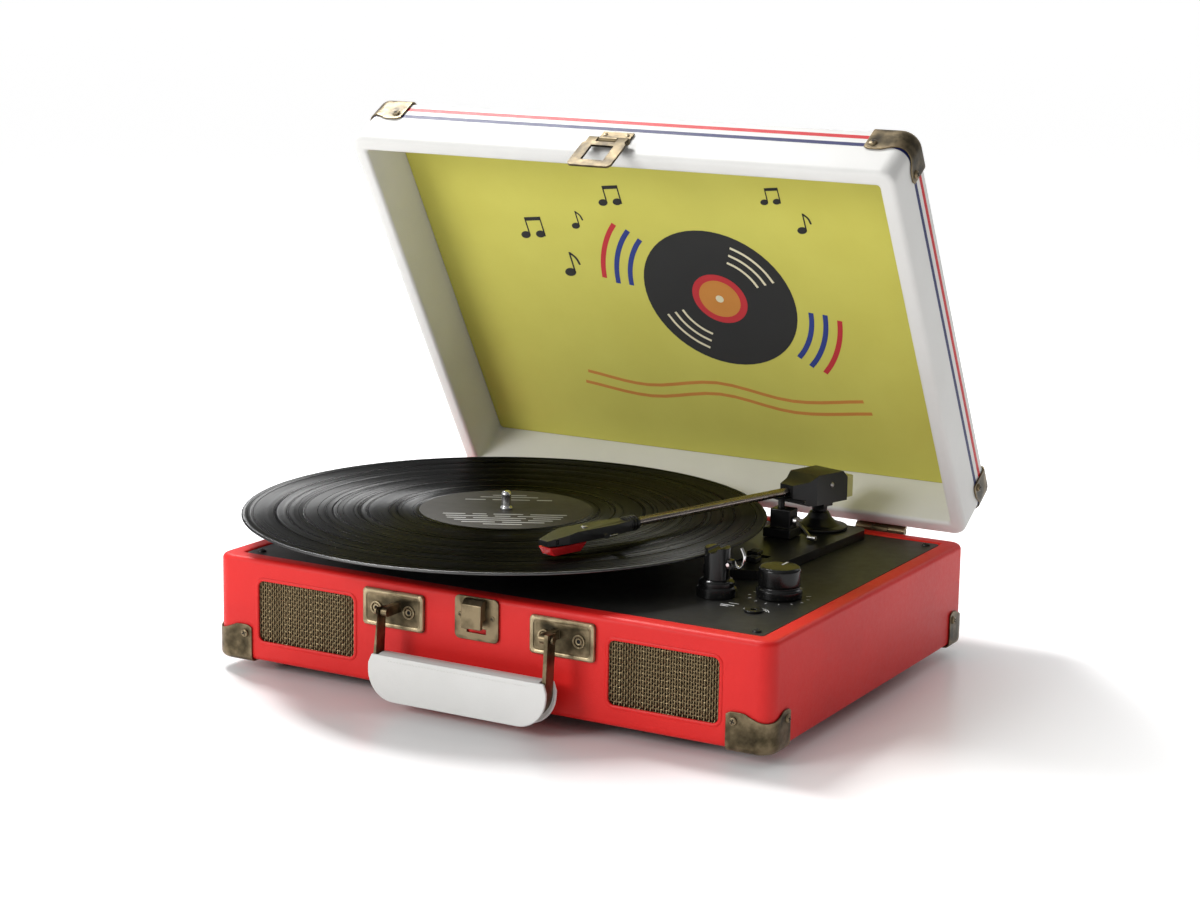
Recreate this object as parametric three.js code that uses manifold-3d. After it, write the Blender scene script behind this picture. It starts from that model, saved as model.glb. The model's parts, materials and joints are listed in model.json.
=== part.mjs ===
// Suitcase record player: a fold-open case with a belt-driven turntable, two front speakers,
// a lifting tonearm, a hinged lid with a hasp, and a carrying handle.
// Frame: X to the right, Y to the back, Z up, in millimetres. The origin is on the floor under
// the middle of the whole part, with its lid open at rest; the pieces are drawn about the middle
// of the case, which lies MIDDLE_X to its right and MIDDLE_Y behind it.

import * as THREE from 'three';
import { mergeVertices } from 'three/addons/utils/BufferGeometryUtils.js';
import Module from 'manifold-3d';

const wasm = await Module();
wasm.setup();

// ---------------------------------------------------------------- driving dimensions
const GAP = 0.3;                   // clearance between touching pieces
const MIDDLE_X = 11.55;            // move the origin from under the case to under the whole part,
const MIDDLE_Y = 4.25;             // as the record and the lid overhang the case

const CASE_W = 350;                // outside width and depth of the case
const CASE_D = 262;
const CASE_R = 9;                  // radius of its upright corners
const FOOT_H = 8;
const BASE_H = 59;                 // height of the lower case above its feet
const RIM_Z = FOOT_H + BASE_H;     // top of the lower case's rim
const RIM_W = 11.5;                // width of that rim
const LEDGE_W = 5;                 // ledge that carries the deck
const DECK_T = 3;
const DECK_Z = RIM_Z - 0.6;        // top face of the deck

const LID_H = 39;                  // outside depth of the lid
const LID_WALL = 9.5;
const LID_INNER = 34.5;            // inside depth of the lid
const LID_OPEN = 59;               // degrees open at rest
const HINGE_Y = CASE_D / 2 + 2.5;  // lid hinge axis
const HINGE_Z = RIM_Z + 0.5;
const HINGE_X = 119;               // middle of each hinge
const HINGE_W = 32;

const SPINDLE_X = -48.5;           // platter axis
const SPINDLE_Y = -25;
const RECORD_R = 150.8;
const RECORD_T = 1.8;
const RECORD_TOP = RIM_Z + 21.5;
const MAT_T = 1.7;
const PLATTER_R = 95;
const PLATTER_H = 11.5;
const DRIVE_R = 60;                // belt ring under the platter
const PULLEY_R = 6;
const MOTOR_DX = -53;              // motor axis from the platter axis
const MOTOR_DY = 53;

const PIVOT_X = 94;                // tonearm pivot
const PIVOT_Y = 98;
const TUBE_Z = RIM_Z + 31;         // height of the tonearm tube
const ARM_YAW = 16.4;              // degrees that the arm at rest turns in from straight ahead
const COLLAR_S = 156;              // distances along the arm from its pivot
const HEAD_S = 223;
const TUBE_R = 2.5;
const PLATE_T = 5.3;               // tonearm base plate

const REST_X = 106.1;               // arm rest
const REST_Y = -58.7;
const KNOB_X = 136;                // volume knob
const KNOB_Y = -43;

const GRILLE_X = 113;              // middle of each speaker opening
const GRILLE_Z = FOOT_H + 29.5;
const GRILLE_W = 66;
const GRILLE_H = 36;
const PLATE_X = 53.3;              // middle of each handle plate
const HANDLE_Y = -CASE_D / 2 - 14;  // handle pivot axis
const HANDLE_Z = RIM_Z - 13;
const HANDLE_TILT = 4;             // degrees that the handle at rest stands out from hanging straight
const HANDLE_DROP = 45;            // pivot to the bottom of the metal strap
const GRIP_W = 112;

const HASP_W = 8;                  // hasp pivot, measured up from the lid's rim
const HASP_OUT = 3.7;              // and out from the lid's front wall

// ---------------------------------------------------------------- materials
const material = (color, roughness, metalness = 0) =>
  new THREE.MeshStandardMaterial({ color, roughness, metalness });
const redCover = () => material(0xcf2f30, 0.55);
const whiteCover = () => material(0xe9e8e2, 0.6);
const brass = () => material(0x7a6a48, 0.45, 1);
const blackPlastic = () => material(0x151515, 0.4);
const steel = () => material(0xb8b8b8, 0.25, 1);

// ---------------------------------------------------------------- solids
const RAD = Math.PI / 180;

function solid(geometry) {
  const bare = geometry.index ? geometry.toNonIndexed() : geometry.clone();
  bare.deleteAttribute('normal');
  bare.deleteAttribute('uv');
  const merged = mergeVertices(bare, 1e-4);
  return new wasm.Manifold(new wasm.Mesh({
    numProp: 3,
    vertProperties: new Float32Array(merged.attributes.position.array),
    triVerts: new Uint32Array(merged.index.array),
  }));
}

function toGeometry(body) {
  const mesh = body.getMesh();
  const geometry = new THREE.BufferGeometry();
  geometry.setAttribute('position', new THREE.BufferAttribute(mesh.vertProperties, 3));
  geometry.setIndex(new THREE.BufferAttribute(mesh.triVerts, 1));
  geometry.computeVertexNormals();
  return geometry;
}

const join = (...bodies) => bodies.reduce((a, b) => a.add(b));
const cut = (body, ...tools) => tools.reduce((a, b) => a.subtract(b), body);

function box(x0, x1, y0, y1, z0, z1) {
  const geometry = new THREE.BoxGeometry(x1 - x0, y1 - y0, z1 - z0);
  geometry.translate((x0 + x1) / 2, (y0 + y1) / 2, (z0 + z1) / 2);
  return solid(geometry);
}

function roundRect(w, h, r, cx = 0, cy = 0) {
  const shape = new THREE.Shape();
  const [x, y] = [w / 2, h / 2];
  shape.absarc(cx + x - r, cy - y + r, r, -Math.PI / 2, 0);
  shape.absarc(cx + x - r, cy + y - r, r, 0, Math.PI / 2);
  shape.absarc(cx - x + r, cy + y - r, r, Math.PI / 2, Math.PI);
  shape.absarc(cx - x + r, cy - y + r, r, Math.PI, Math.PI * 1.5);
  return shape;
}

function polygon(points) {
  const shape = new THREE.Shape();
  points.forEach(([x, y], i) => (i ? shape.lineTo(x, y) : shape.moveTo(x, y)));
  return shape;
}

// An outline in X and Y, raised from z0 to z1.
function prism(shape, z0, z1, curveSegments = 4) {
  const geometry = new THREE.ExtrudeGeometry(shape, { depth: z1 - z0, bevelEnabled: false, curveSegments });
  geometry.translate(0, 0, z0);
  return solid(geometry);
}

// An outline in X and Z, carried back from y0 to y1.
function prismY(shape, y0, y1, curveSegments = 4) {
  const geometry = new THREE.ExtrudeGeometry(shape, { depth: y1 - y0, bevelEnabled: false, curveSegments });
  geometry.rotateX(Math.PI / 2);
  geometry.translate(0, y1, 0);
  return solid(geometry);
}

// A profile of [radius, z] points turned about an upright axis at (x, y).
function turned(profile, x = 0, y = 0, segments = 24) {
  const points = profile.map(([r, z]) => new THREE.Vector2(r, z));
  const geometry = new THREE.LatheGeometry(points, segments);
  geometry.rotateX(Math.PI / 2);
  geometry.translate(x, y, 0);
  return solid(geometry);
}

const rod = (r, z0, z1, x = 0, y = 0, segments = 20) =>
  turned([[0, z0], [r, z0], [r, z1], [0, z1]], x, y, segments);

// A round bar along X, centred on (y, z).
function rodX(r, x0, x1, y, z, segments = 16) {
  const geometry = new THREE.CylinderGeometry(r, r, x1 - x0, segments);
  geometry.rotateZ(Math.PI / 2);
  geometry.translate((x0 + x1) / 2, y, z);
  return solid(geometry);
}

// A round bar along Y, centred on (x, z).
function rodY(r, y0, y1, x, z, segments = 20) {
  const geometry = new THREE.CylinderGeometry(r, r, y1 - y0, segments);
  geometry.translate(x, (y0 + y1) / 2, z);
  return solid(geometry);
}

function add(group, name, body, look) {
  const mesh = new THREE.Mesh(toGeometry(body), look);
  mesh.name = name;
  group.add(mesh);
}

// ---------------------------------------------------------------- shared shapes
// A pressed brass cap over one corner of a box CASE_W by CASE_D. It covers the walls from z0 to z1
// and the face at zFace, which lies at the bottom or at the top of the walls.
const CAP_T = 0.9;
const CAP_X = 25;
const CAP_Y = 22;

function cornerCap(sx, sy, z0, z1, up) {
  const skin = GAP + CAP_T;
  const lower = up ? z0 : z0 - skin;
  const upper = up ? z1 + skin : z1;
  const outer = prism(roundRect(CASE_W + 2 * skin, CASE_D + 2 * skin, CASE_R + skin), lower, upper);
  const inner = prism(roundRect(CASE_W + 2 * GAP, CASE_D + 2 * GAP, CASE_R + GAP),
    up ? z0 - 1 : z0 - GAP, up ? z1 + GAP : z1 + 1);
  const [xNear, xFar] = [sx * (CASE_W / 2 - CAP_X), sx * (CASE_W / 2 + 5)];
  const [yNear, yFar] = [sy * (CASE_D / 2 - CAP_Y), sy * (CASE_D / 2 + 5)];
  const region = box(Math.min(xNear, xFar), Math.max(xNear, xFar),
    Math.min(yNear, yFar), Math.max(yNear, yFar), lower - 1, upper + 1);
  return cut(outer, inner).intersect(region);
}

const CORNERS = [['fl', -1, -1], ['fr', 1, -1], ['bl', -1, 1], ['br', 1, 1]];

// ---------------------------------------------------------------- lower case
function baseCase() {
  const inside = RIM_W + LEDGE_W;
  const shell = prism(roundRect(CASE_W, CASE_D, CASE_R), FOOT_H, RIM_Z, 6);
  const deckSeat = prism(roundRect(CASE_W - 2 * RIM_W, CASE_D - 2 * RIM_W, 3), DECK_Z - DECK_T - GAP, RIM_Z + 1);
  const ledgeHole = prism(roundRect(CASE_W - 2 * inside, CASE_D - 2 * inside, 3), FOOT_H - 1, RIM_Z);
  const hollow = prism(roundRect(CASE_W - 2 * RIM_W, CASE_D - 2 * RIM_W, 3), FOOT_H - 1, RIM_Z - 7);
  const grilleHoles = [-1, 1].map((s) =>
    prismY(roundRect(GRILLE_W + 1, GRILLE_H + 1, 4.5, s * GRILLE_X, GRILLE_Z), -CASE_D, 0));
  const rearHole = box(-PANEL_W / 2, PANEL_W / 2, 0, CASE_D, PANEL_Z - 14, PANEL_Z + 14);
  return cut(shell, deckSeat, ledgeHole, hollow, ...grilleHoles, rearHole);
}

const PANEL_W = 84;                // rear socket panel
const PANEL_Z = FOOT_H + 26;

function baseFloor() {
  const w = CASE_W - 2 * RIM_W - 2 * GAP;
  const d = CASE_D - 2 * RIM_W - 2 * GAP;
  return prism(roundRect(w, d, 2.6), FOOT_H, FOOT_H + 3);
}

const FOOT_X = 144;
const FOOT_Y = 100;

function deckPlate() {
  const w = CASE_W - 2 * RIM_W - 2 * GAP;
  const d = CASE_D - 2 * RIM_W - 2 * GAP;
  return cut(prism(roundRect(w, d, 2.6), DECK_Z - DECK_T, DECK_Z),
    rod(9, 0, 100, SPINDLE_X, SPINDLE_Y),
    rod(9, 0, 100, SPINDLE_X + MOTOR_DX, SPINDLE_Y + MOTOR_DY),
    rod(5, 0, 100, PIVOT_X, PIVOT_Y, 16),
    rod(3.8, 0, 100, KNOB_X, KNOB_Y, 16),
    rod(3.8, 0, 100, JACK_X, JACK_Y, 16));
}

const JACK_X = 138;                // headphone socket in the deck
const JACK_Y = -78;

function rearPanel() {
  const yIn = CASE_D / 2 - 3;
  const plate = box(-PANEL_W / 2 + GAP, PANEL_W / 2 - GAP, yIn, CASE_D / 2 - 1,
    PANEL_Z - 14 + GAP, PANEL_Z + 14 - GAP);
  const barrels = [-28, -10].map((x) => rodY(4.2, yIn - 10, CASE_D / 2 + 7, x, PANEL_Z, 16));
  const bores = [-28, -10].map((x) => rodY(1.8, yIn - 5, CASE_D / 2 + 8, x, PANEL_Z, 12));
  const inlet = cut(box(8, 20, yIn - 10, CASE_D / 2 - 0.4, PANEL_Z - 6, PANEL_Z + 6),
    rodY(3, yIn - 6, CASE_D, 14, PANEL_Z, 16));
  const inletWay = rodY(3, yIn - 6, CASE_D, 14, PANEL_Z, 16);
  const auxWay = rodY(2, yIn - 4, CASE_D, 31, PANEL_Z, 12);
  const auxBody = box(26, 36, yIn - 8, yIn + 1, PANEL_Z - 5, PANEL_Z + 5);
  return cut(join(plate, ...barrels, inlet, auxBody), ...bores, inletWay, auxWay);
}

function headphoneJack() {
  return cut(join(rod(3.5, DECK_Z - 13, DECK_Z, JACK_X, JACK_Y, 16), rod(5.2, DECK_Z, DECK_Z + 1.4, JACK_X, JACK_Y)),
    rod(1.85, DECK_Z - 10, DECK_Z + 2, JACK_X, JACK_Y, 12));
}

function speakerGrille(s) {
  const y = -CASE_D / 2;
  return prismY(roundRect(GRILLE_W, GRILLE_H, 4, s * GRILLE_X, GRILLE_Z), y + 1.2, y + 2.6);
}

function speakerDriver(s) {
  const y = -CASE_D / 2 + RIM_W + GAP;
  const profile = [[0, y + 6], [6, y + 4], [19.5, y + 0.4], [22, y], [22, y + 2], [15, y + 14],
    [15, y + 16], [16, y + 16], [16, y + 27], [0, y + 27]];
  const geometry = new THREE.LatheGeometry(profile.map(([r, at]) => new THREE.Vector2(r, at)), 24);
  geometry.translate(s * GRILLE_X, 0, GRILLE_Z);
  return solid(geometry);
}

function lowerCase(group) {
  add(group, 'base_case', baseCase(), redCover());
  add(group, 'base_floor', baseFloor(), material(0x2a2a2a, 0.8));
  for (const [tag, sx, sy] of CORNERS) {
    const foot = turned([[0, 0], [8, 0], [9.5, 1.5], [10, FOOT_H - GAP], [0, FOOT_H - GAP]], sx * FOOT_X, sy * FOOT_Y, 16);
    add(group, `foot_${tag}`, foot, material(0x101010, 0.9));
    add(group, `base_corner_${tag}`, cornerCap(sx, sy, FOOT_H, FOOT_H + 20.5, false), brass());
  }
  add(group, 'deck_plate', deckPlate(), material(0x1c1c1c, 0.5));
  add(group, 'rear_panel', rearPanel(), blackPlastic());
  add(group, 'headphone_jack', headphoneJack(), blackPlastic());
  for (const [tag, s] of [['left', -1], ['right', 1]]) {
    add(group, `speaker_grille_${tag}`, speakerGrille(s), material(0x6b5a38, 0.5, 1));
    add(group, `speaker_driver_${tag}`, speakerDriver(s), material(0x1a1a1a, 0.7));
  }
}

// ---------------------------------------------------------------- handle
// The pivot pins run along X through the eyes of the metal strap.
const PIN_X = PLATE_X;             // middle of the strap's arm
const STRAP_T = 2.2;
const STRAP_W = 8;

function handlePlate(s) {
  const y = -CASE_D / 2 - GAP;
  const zMid = RIM_Z - 15.2;
  const plate = join(
    prismY(roundRect(39.5, 21, 2, s * PLATE_X, zMid), y - 1, y, 2),
    prismY(roundRect(34, 16, 1.6, s * PLATE_X, zMid), y - 1.8, y - 0.5, 2));
  const bossIn = s * (PIN_X - STRAP_T / 2 - GAP - 4);
  const bossOut = s * (PIN_X - STRAP_T / 2 - GAP);
  const [x0, x1] = [Math.min(bossIn, bossOut), Math.max(bossIn, bossOut)];
  const boss = join(
    box(x0, x1, HANDLE_Y, y - 0.5, HANDLE_Z - 2.6, HANDLE_Z + 2.6),
    rodX(2.6, x0, x1, HANDLE_Y, HANDLE_Z, 12));
  const pinFar = s * (PIN_X + STRAP_T / 2 + 1.6);
  const pin = rodX(1.2, Math.min(bossIn, pinFar), Math.max(bossIn, pinFar), HANDLE_Y, HANDLE_Z, 12);
  const headNear = s * (PIN_X + STRAP_T / 2 + GAP);
  const head = rodX(2.1, Math.min(headNear, pinFar), Math.max(headNear, pinFar), HANDLE_Y, HANDLE_Z, 12);
  return join(plate, boss, pin, head);
}

// In the handle's own frame the pivot axis is the X axis and the handle hangs down -Z.
function handleStrap() {
  const xOut = PIN_X + STRAP_T / 2;
  const corner = 16;
  const arc = (shape, cx, r, from, to, clockwise) => shape.absarc(cx, -HANDLE_DROP + corner, r, from, to, clockwise);
  const outline = new THREE.Shape();
  outline.moveTo(-xOut, 3);
  arc(outline, -xOut + corner, corner, Math.PI, Math.PI * 1.5, false);
  arc(outline, xOut - corner, corner, -Math.PI / 2, 0, false);
  outline.lineTo(xOut, 3);
  outline.lineTo(xOut - STRAP_T, 3);
  arc(outline, xOut - corner, corner - STRAP_T, 0, -Math.PI / 2, true);
  arc(outline, -xOut + corner, corner - STRAP_T, Math.PI * 1.5, Math.PI, true);
  outline.lineTo(-xOut + STRAP_T, 3);
  const strap = prismY(outline, -STRAP_W / 2, STRAP_W / 2, 6);
  return cut(strap, rodX(1.5, -80, 80, 0, 0, 12));
}

function handleGrip() {
  const flapT = 1.7;
  const top = -22.5;
  const bottom = -HANDLE_DROP - GAP - flapT - 0.5;
  const r = 17;
  const x = GRIP_W / 2;
  const outline = new THREE.Shape();
  outline.moveTo(-x + 2, top);
  outline.lineTo(-x, top - 5);
  outline.absarc(-x + r, bottom + r, r, Math.PI, Math.PI * 1.5);
  outline.absarc(x - r, bottom + r, r, -Math.PI / 2, 0);
  outline.lineTo(x, top - 5);
  outline.lineTo(x - 2, top);
  const y = STRAP_W / 2 + GAP;
  const body = prismY(outline, -y - flapT, y + flapT, 6);
  const slot = box(-x - 1, x + 1, -y, y, bottom + flapT + 0.5, top + 1);
  const endL = box(-x - 1, -x + r - 1, -y, y, bottom - 1, top);
  const endR = box(x - r + 1, x + 1, -y, y, bottom - 1, top);
  return cut(body, slot, endL, endR);
}

function handle(group) {
  add(group, 'handle_plate_left', handlePlate(-1), brass());
  add(group, 'handle_plate_right', handlePlate(1), brass());
  const swing = new THREE.Group();
  swing.position.set(0, HANDLE_Y, HANDLE_Z);
  swing.rotation.x = -HANDLE_TILT * RAD;
  add(swing, 'handle_strap', handleStrap(), brass());
  add(swing, 'handle_grip', handleGrip(), whiteCover());
  group.add(swing);
}

// ---------------------------------------------------------------- latch, hinges and lid
const HOOK_W = 12.5;

function latchPlate() {
  const y = -CASE_D / 2 - GAP;
  const plate = prismY(roundRect(27.5, 24, 3, 0, RIM_Z - 12.6), y - 1.2, y, 3);
  return cut(plate, box(-6, 6, y - 2, y + 1, RIM_Z - 20.5, RIM_Z - 17.8));
}

// The catch is a stepped block with a lip that holds the hasp's lower bar.
function latchHook() {
  const y = -CASE_D / 2 - GAP - 1.2 - GAP;
  const profile = polygon([[y, RIM_Z - 1.2], [y - 2.2, RIM_Z - 1.2], [y - 5, RIM_Z - 4], [y - 5.6, RIM_Z - 17],
    [y - 3.4, RIM_Z - 17], [y - 2.8, RIM_Z - 13], [y, RIM_Z - 12]]);
  const geometry = new THREE.ExtrudeGeometry(profile, { depth: HOOK_W, bevelEnabled: false });
  geometry.applyMatrix4(new THREE.Matrix4().set(0, 0, 1, -HOOK_W / 2, 1, 0, 0, 0, 0, 1, 0, 0, 0, 0, 0, 1));
  return solid(geometry);
}

const LEAF_T = 1;
const KNUCKLE_R = 2;
const LEAF_H = 13;

// One leaf of a hinge, in the frame of the hinge axis: the wall's outer face is at y = -wall.
function hingeLeaf(cx, knuckles, side) {
  const wall = HINGE_Y - CASE_D / 2;
  const y0 = -wall + GAP;
  const z0 = 0.6 * side;
  const z1 = LEAF_H * side;
  const leaf = box(cx - HINGE_W / 2, cx + HINGE_W / 2, y0, y0 + LEAF_T, Math.min(z0, z1), Math.max(z0, z1));
  const eyes = knuckles.map(([a, b]) => join(
    rodX(KNUCKLE_R, cx + a, cx + b, 0, 0, 12),
    box(cx + a, cx + b, y0, -0.4, Math.min(0, 3 * side), Math.max(0, 3 * side))));
  return [leaf, eyes];
}

function baseLeaf(cx) {
  const [leaf, eyes] = hingeLeaf(cx, [[-5, 5]], -1);
  const clear = [[-HINGE_W / 2 - 1, -5], [5, HINGE_W / 2 + 1]].map(([a, b]) =>
    rodX(KNUCKLE_R + GAP, cx + a, cx + b, 0, 0, 12));
  return join(cut(leaf, ...clear), ...eyes, rodX(1, cx - HINGE_W / 2, cx + HINGE_W / 2, 0, 0, 12));
}

function lidLeaf(cx) {
  const half = HINGE_W / 2;
  const [leaf, eyes] = hingeLeaf(cx, [[-half, -5 - GAP], [5 + GAP, half]], 1);
  const middle = rodX(KNUCKLE_R + GAP, cx - 5 - GAP, cx + 5 + GAP, 0, 0, 12);
  const bore = rodX(1 + GAP, cx - half - 1, cx + half + 1, 0, 0, 12);
  return cut(join(cut(leaf, middle), ...eyes), bore);
}

// The lid is drawn closed, in the frame of its hinge axis: its rim lies at z = 0 and its front at
// the low y end.
const LID_MID_Y = -HINGE_Y;

function lidOutline(inset, r) {
  return roundRect(CASE_W - 2 * inset, CASE_D - 2 * inset, r, 0, LID_MID_Y);
}

function lidShell() {
  return cut(prism(lidOutline(0, CASE_R), 0, LID_H, 6), prism(lidOutline(LID_WALL, 2.5), -1, LID_INNER));
}

function lidLiner() {
  return prism(lidOutline(LID_WALL + GAP, 2.2), LID_INNER - GAP - 1, LID_INNER - GAP);
}

const HASP_X = 14;                 // half width of the hasp loop

function haspBracket() {
  const wall = LID_MID_Y - CASE_D / 2 - GAP;
  const [y, z] = [LID_MID_Y - CASE_D / 2 - HASP_OUT, HASP_W];
  const plate = box(-10, 10, wall - 1, wall, z, z + 12);
  const knuckle = join(rodX(2, -6, 6, y, z, 12), box(-6, 6, y, wall - 0.5, z - 1.5, z + 2));
  return join(plate, knuckle, rodX(0.9, -HASP_X + 1, HASP_X - 1, y, z, 12));
}

function haspLoop() {
  const [y, z] = [LID_MID_Y - CASE_D / 2 - HASP_OUT, HASP_W];
  const ears = [-1, 1].map((s) => {
    const [a, b] = [Math.min(s * 6.4, s * (HASP_X - 1.5)), Math.max(s * 6.4, s * (HASP_X - 1.5))];
    return join(rodX(2, a, b, y, z, 12), box(a, b, y - 2, y - 0.6, z - 6, z));
  });
  const tip = -19;
  const plate = cut(prismY(roundRect(2 * HASP_X, z - 4 - tip, 3, 0, (z - 4 + tip) / 2), y - 2, y - 0.6, 3),
    box(-7.2, 7.2, y - 5, y + 5, -13.5, 0.5));
  return cut(join(plate, ...ears), rodX(0.9 + GAP, -20, 20, y, z, 12));
}

function lid(group) {
  const turn = new THREE.Group();
  turn.position.set(0, HINGE_Y, HINGE_Z);
  turn.rotation.x = -LID_OPEN * RAD;
  add(turn, 'lid_shell', lidShell(), whiteCover());
  add(turn, 'lid_liner', lidLiner(), material(0xcfc45a, 0.85));
  for (const [tag, sx, sy] of CORNERS) {
    const cap = cornerCap(sx, sy, LID_H - 19, LID_H, true).translate([0, LID_MID_Y, 0]);
    add(turn, `lid_corner_${tag}`, cap, brass());
  }
  add(turn, 'hasp_bracket', haspBracket(), brass());
  add(turn, 'hasp_loop', haspLoop(), brass());
  const still = new THREE.Group();
  still.position.set(0, HINGE_Y, HINGE_Z);
  for (const [tag, s] of [['left', -1], ['right', 1]]) {
    add(still, `hinge_base_leaf_${tag}`, baseLeaf(s * HINGE_X), brass());
    add(turn, `hinge_lid_leaf_${tag}`, lidLeaf(s * HINGE_X), brass());
  }
  add(group, 'latch_plate', latchPlate(), brass());
  add(group, 'latch_hook', latchHook(), brass());
  group.add(turn, still);
}

// ---------------------------------------------------------------- turntable
const PLATTER_TOP = RECORD_TOP - RECORD_T - MAT_T - 2 * GAP;

function platter() {
  const top = PLATTER_TOP;
  const low = top - PLATTER_H;
  const profile = [[3.9, low], [8, low], [8, top - 5], [25, top - 5], [25, top - 2.5],
    [DRIVE_R - 3, top - 2.5], [DRIVE_R - 3, low + 1],
    [DRIVE_R, low + 1], [DRIVE_R, top - 2.5], [PLATTER_R - 4, top - 2.5], [PLATTER_R - 4, low],
    [PLATTER_R, low], [PLATTER_R, top], [3.9, top], [3.9, low]];
  return turned(profile, SPINDLE_X, SPINDLE_Y, 48);
}

function ring(rIn, rOut, z0, z1, segments) {
  return turned([[rIn, z0], [rOut, z0], [rOut, z1], [rIn, z1], [rIn, z0]], SPINDLE_X, SPINDLE_Y, segments);
}

function spindle() {
  return turned([[0, RIM_Z - 26], [3.6, RIM_Z - 26], [3.6, RECORD_TOP + 8.5], [2.6, RECORD_TOP + 10.5],
    [0, RECORD_TOP + 11]], SPINDLE_X, SPINDLE_Y, 16);
}

function motor() {
  const [x, y] = [SPINDLE_X + MOTOR_DX, SPINDLE_Y + MOTOR_DY];
  const top = DECK_Z - DECK_T - GAP;
  return cut(join(rod(17, top - 24, top, x, y, 24), rod(4, top - 27, top - 23, x, y, 12)),
    rod(2, top - 20, top + 1, x, y, 12));
}

const BELT_Z = PLATTER_TOP - PLATTER_H + 2.5;

function motorPulley() {
  const [x, y] = [SPINDLE_X + MOTOR_DX, SPINDLE_Y + MOTOR_DY];
  const profile = [[0, DECK_Z - DECK_T - 18], [1.2, DECK_Z - DECK_T - 18], [1.2, BELT_Z - 1.8],
    [7.5, BELT_Z - 1.8], [7.5, BELT_Z - 0.6], [PULLEY_R, BELT_Z - 0.4], [PULLEY_R, BELT_Z + 4.4],
    [7.5, BELT_Z + 4.6], [7.5, BELT_Z + 5.8], [0, BELT_Z + 5.8]];
  return turned(profile, x, y, 20);
}

// The belt hugs the drive ring and the pulley, with straight runs between them.
function driveBelt() {
  const reach = Math.hypot(MOTOR_DX, MOTOR_DY);
  const loop = (extra) => {
    const [big, small] = [DRIVE_R + GAP + extra, PULLEY_R + GAP + extra];
    const lean = Math.asin((big - small) / reach);
    const shape = new THREE.Shape();
    shape.absarc(0, 0, big, Math.PI / 2 - lean, Math.PI * 1.5 + lean);
    shape.absarc(reach, 0, small, -Math.PI / 2 + lean, Math.PI / 2 - lean);
    return shape;
  };
  const belt = cut(prism(loop(0.7), BELT_Z, BELT_Z + 4, 24), prism(loop(0), BELT_Z - 1, BELT_Z + 5, 24));
  return belt.rotate([0, 0, Math.atan2(MOTOR_DY, MOTOR_DX) / RAD]).translate([SPINDLE_X, SPINDLE_Y, 0]);
}

function turntable(group) {
  add(group, 'platter', platter(), material(0x202020, 0.45, 0.6));
  add(group, 'platter_mat', ring(3.9, PLATTER_R - 1, PLATTER_TOP + GAP, PLATTER_TOP + GAP + MAT_T, 48),
    material(0x101010, 0.95));
  add(group, 'record', ring(3.9, RECORD_R, RECORD_TOP - RECORD_T, RECORD_TOP, 72), material(0x0b0b0b, 0.25));
  add(group, 'spindle', spindle(), steel());
  add(group, 'motor', motor(), material(0x8a8a8a, 0.4, 0.8));
  add(group, 'motor_pulley', motorPulley(), brass());
  add(group, 'drive_belt', driveBelt(), material(0x141414, 0.8));
}

// ---------------------------------------------------------------- tonearm
const PLATE_Z = DECK_Z + GAP;      // underside of the tonearm base plate
const PLATE_TOP = PLATE_Z + PLATE_T;

function tonearmPlate() {
  const outline = polygon([[66, 113], [72, -8], [78, -20], [98, -23], [110, -18], [113.5, -8], [120, 106],
    [118, 111], [113, 113]]);
  const switches = [SPEED_Y, STOP_Y].map((y) => box(SWITCH_X - 6, SWITCH_X + 6, y - 3, y + 3, 0, 100));
  return cut(prism(outline, PLATE_Z, PLATE_TOP), rod(5, 0, 100, PIVOT_X, PIVOT_Y, 16), ...switches);
}

const SWITCH_X = 96;               // slide switches on the base plate
const SPEED_Y = 14;
const STOP_Y = 0;

// A slide switch button, with its stem in the plate's slot.
function slideSwitch(y, offset) {
  const x = SWITCH_X + offset;
  return join(box(x - 2, x + 2, y - 2.6, y + 2.6, PLATE_Z + 1, PLATE_TOP + 0.3),
    box(x - 3.2, x + 3.2, y - 4, y + 4, PLATE_TOP + 0.3, PLATE_TOP + 3));
}

function tonearmTurret() {
  const z = PLATE_TOP + GAP;
  return turned([[3, z], [17, z], [17, z + 1.4], [11.6, z + 1.7], [5.4, z + 10], [3, z + 10], [3, z]],
    PIVOT_X, PIVOT_Y, 24);
}

// From here on the arm is drawn in its own frame: the pivot is the origin, the arm runs along -Y,
// and z = 0 is the middle of the tube.
function armYoke() {
  const low = PLATE_TOP - TUBE_Z;
  const post = join(rod(2.6, low + 1, low + 12, 0, 0, 16), rod(4.6, low + 10.7, -11.2, 0, 0, 16));
  const bridge = box(-6.8, 6.8, -4, 4, -12, -10);
  const ears = [-1, 1].map((s) => {
    const [a, b] = [Math.min(s * 5.2, s * 6.8), Math.max(s * 5.2, s * 6.8)];
    return join(box(a, b, -3, 3, -10.5, 0), rodX(3, a, b, 0, 0, 12));
  });
  return cut(join(post, bridge, ...ears), rodX(1.2 + GAP, -10, 10, 0, 0, 12));
}

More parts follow.
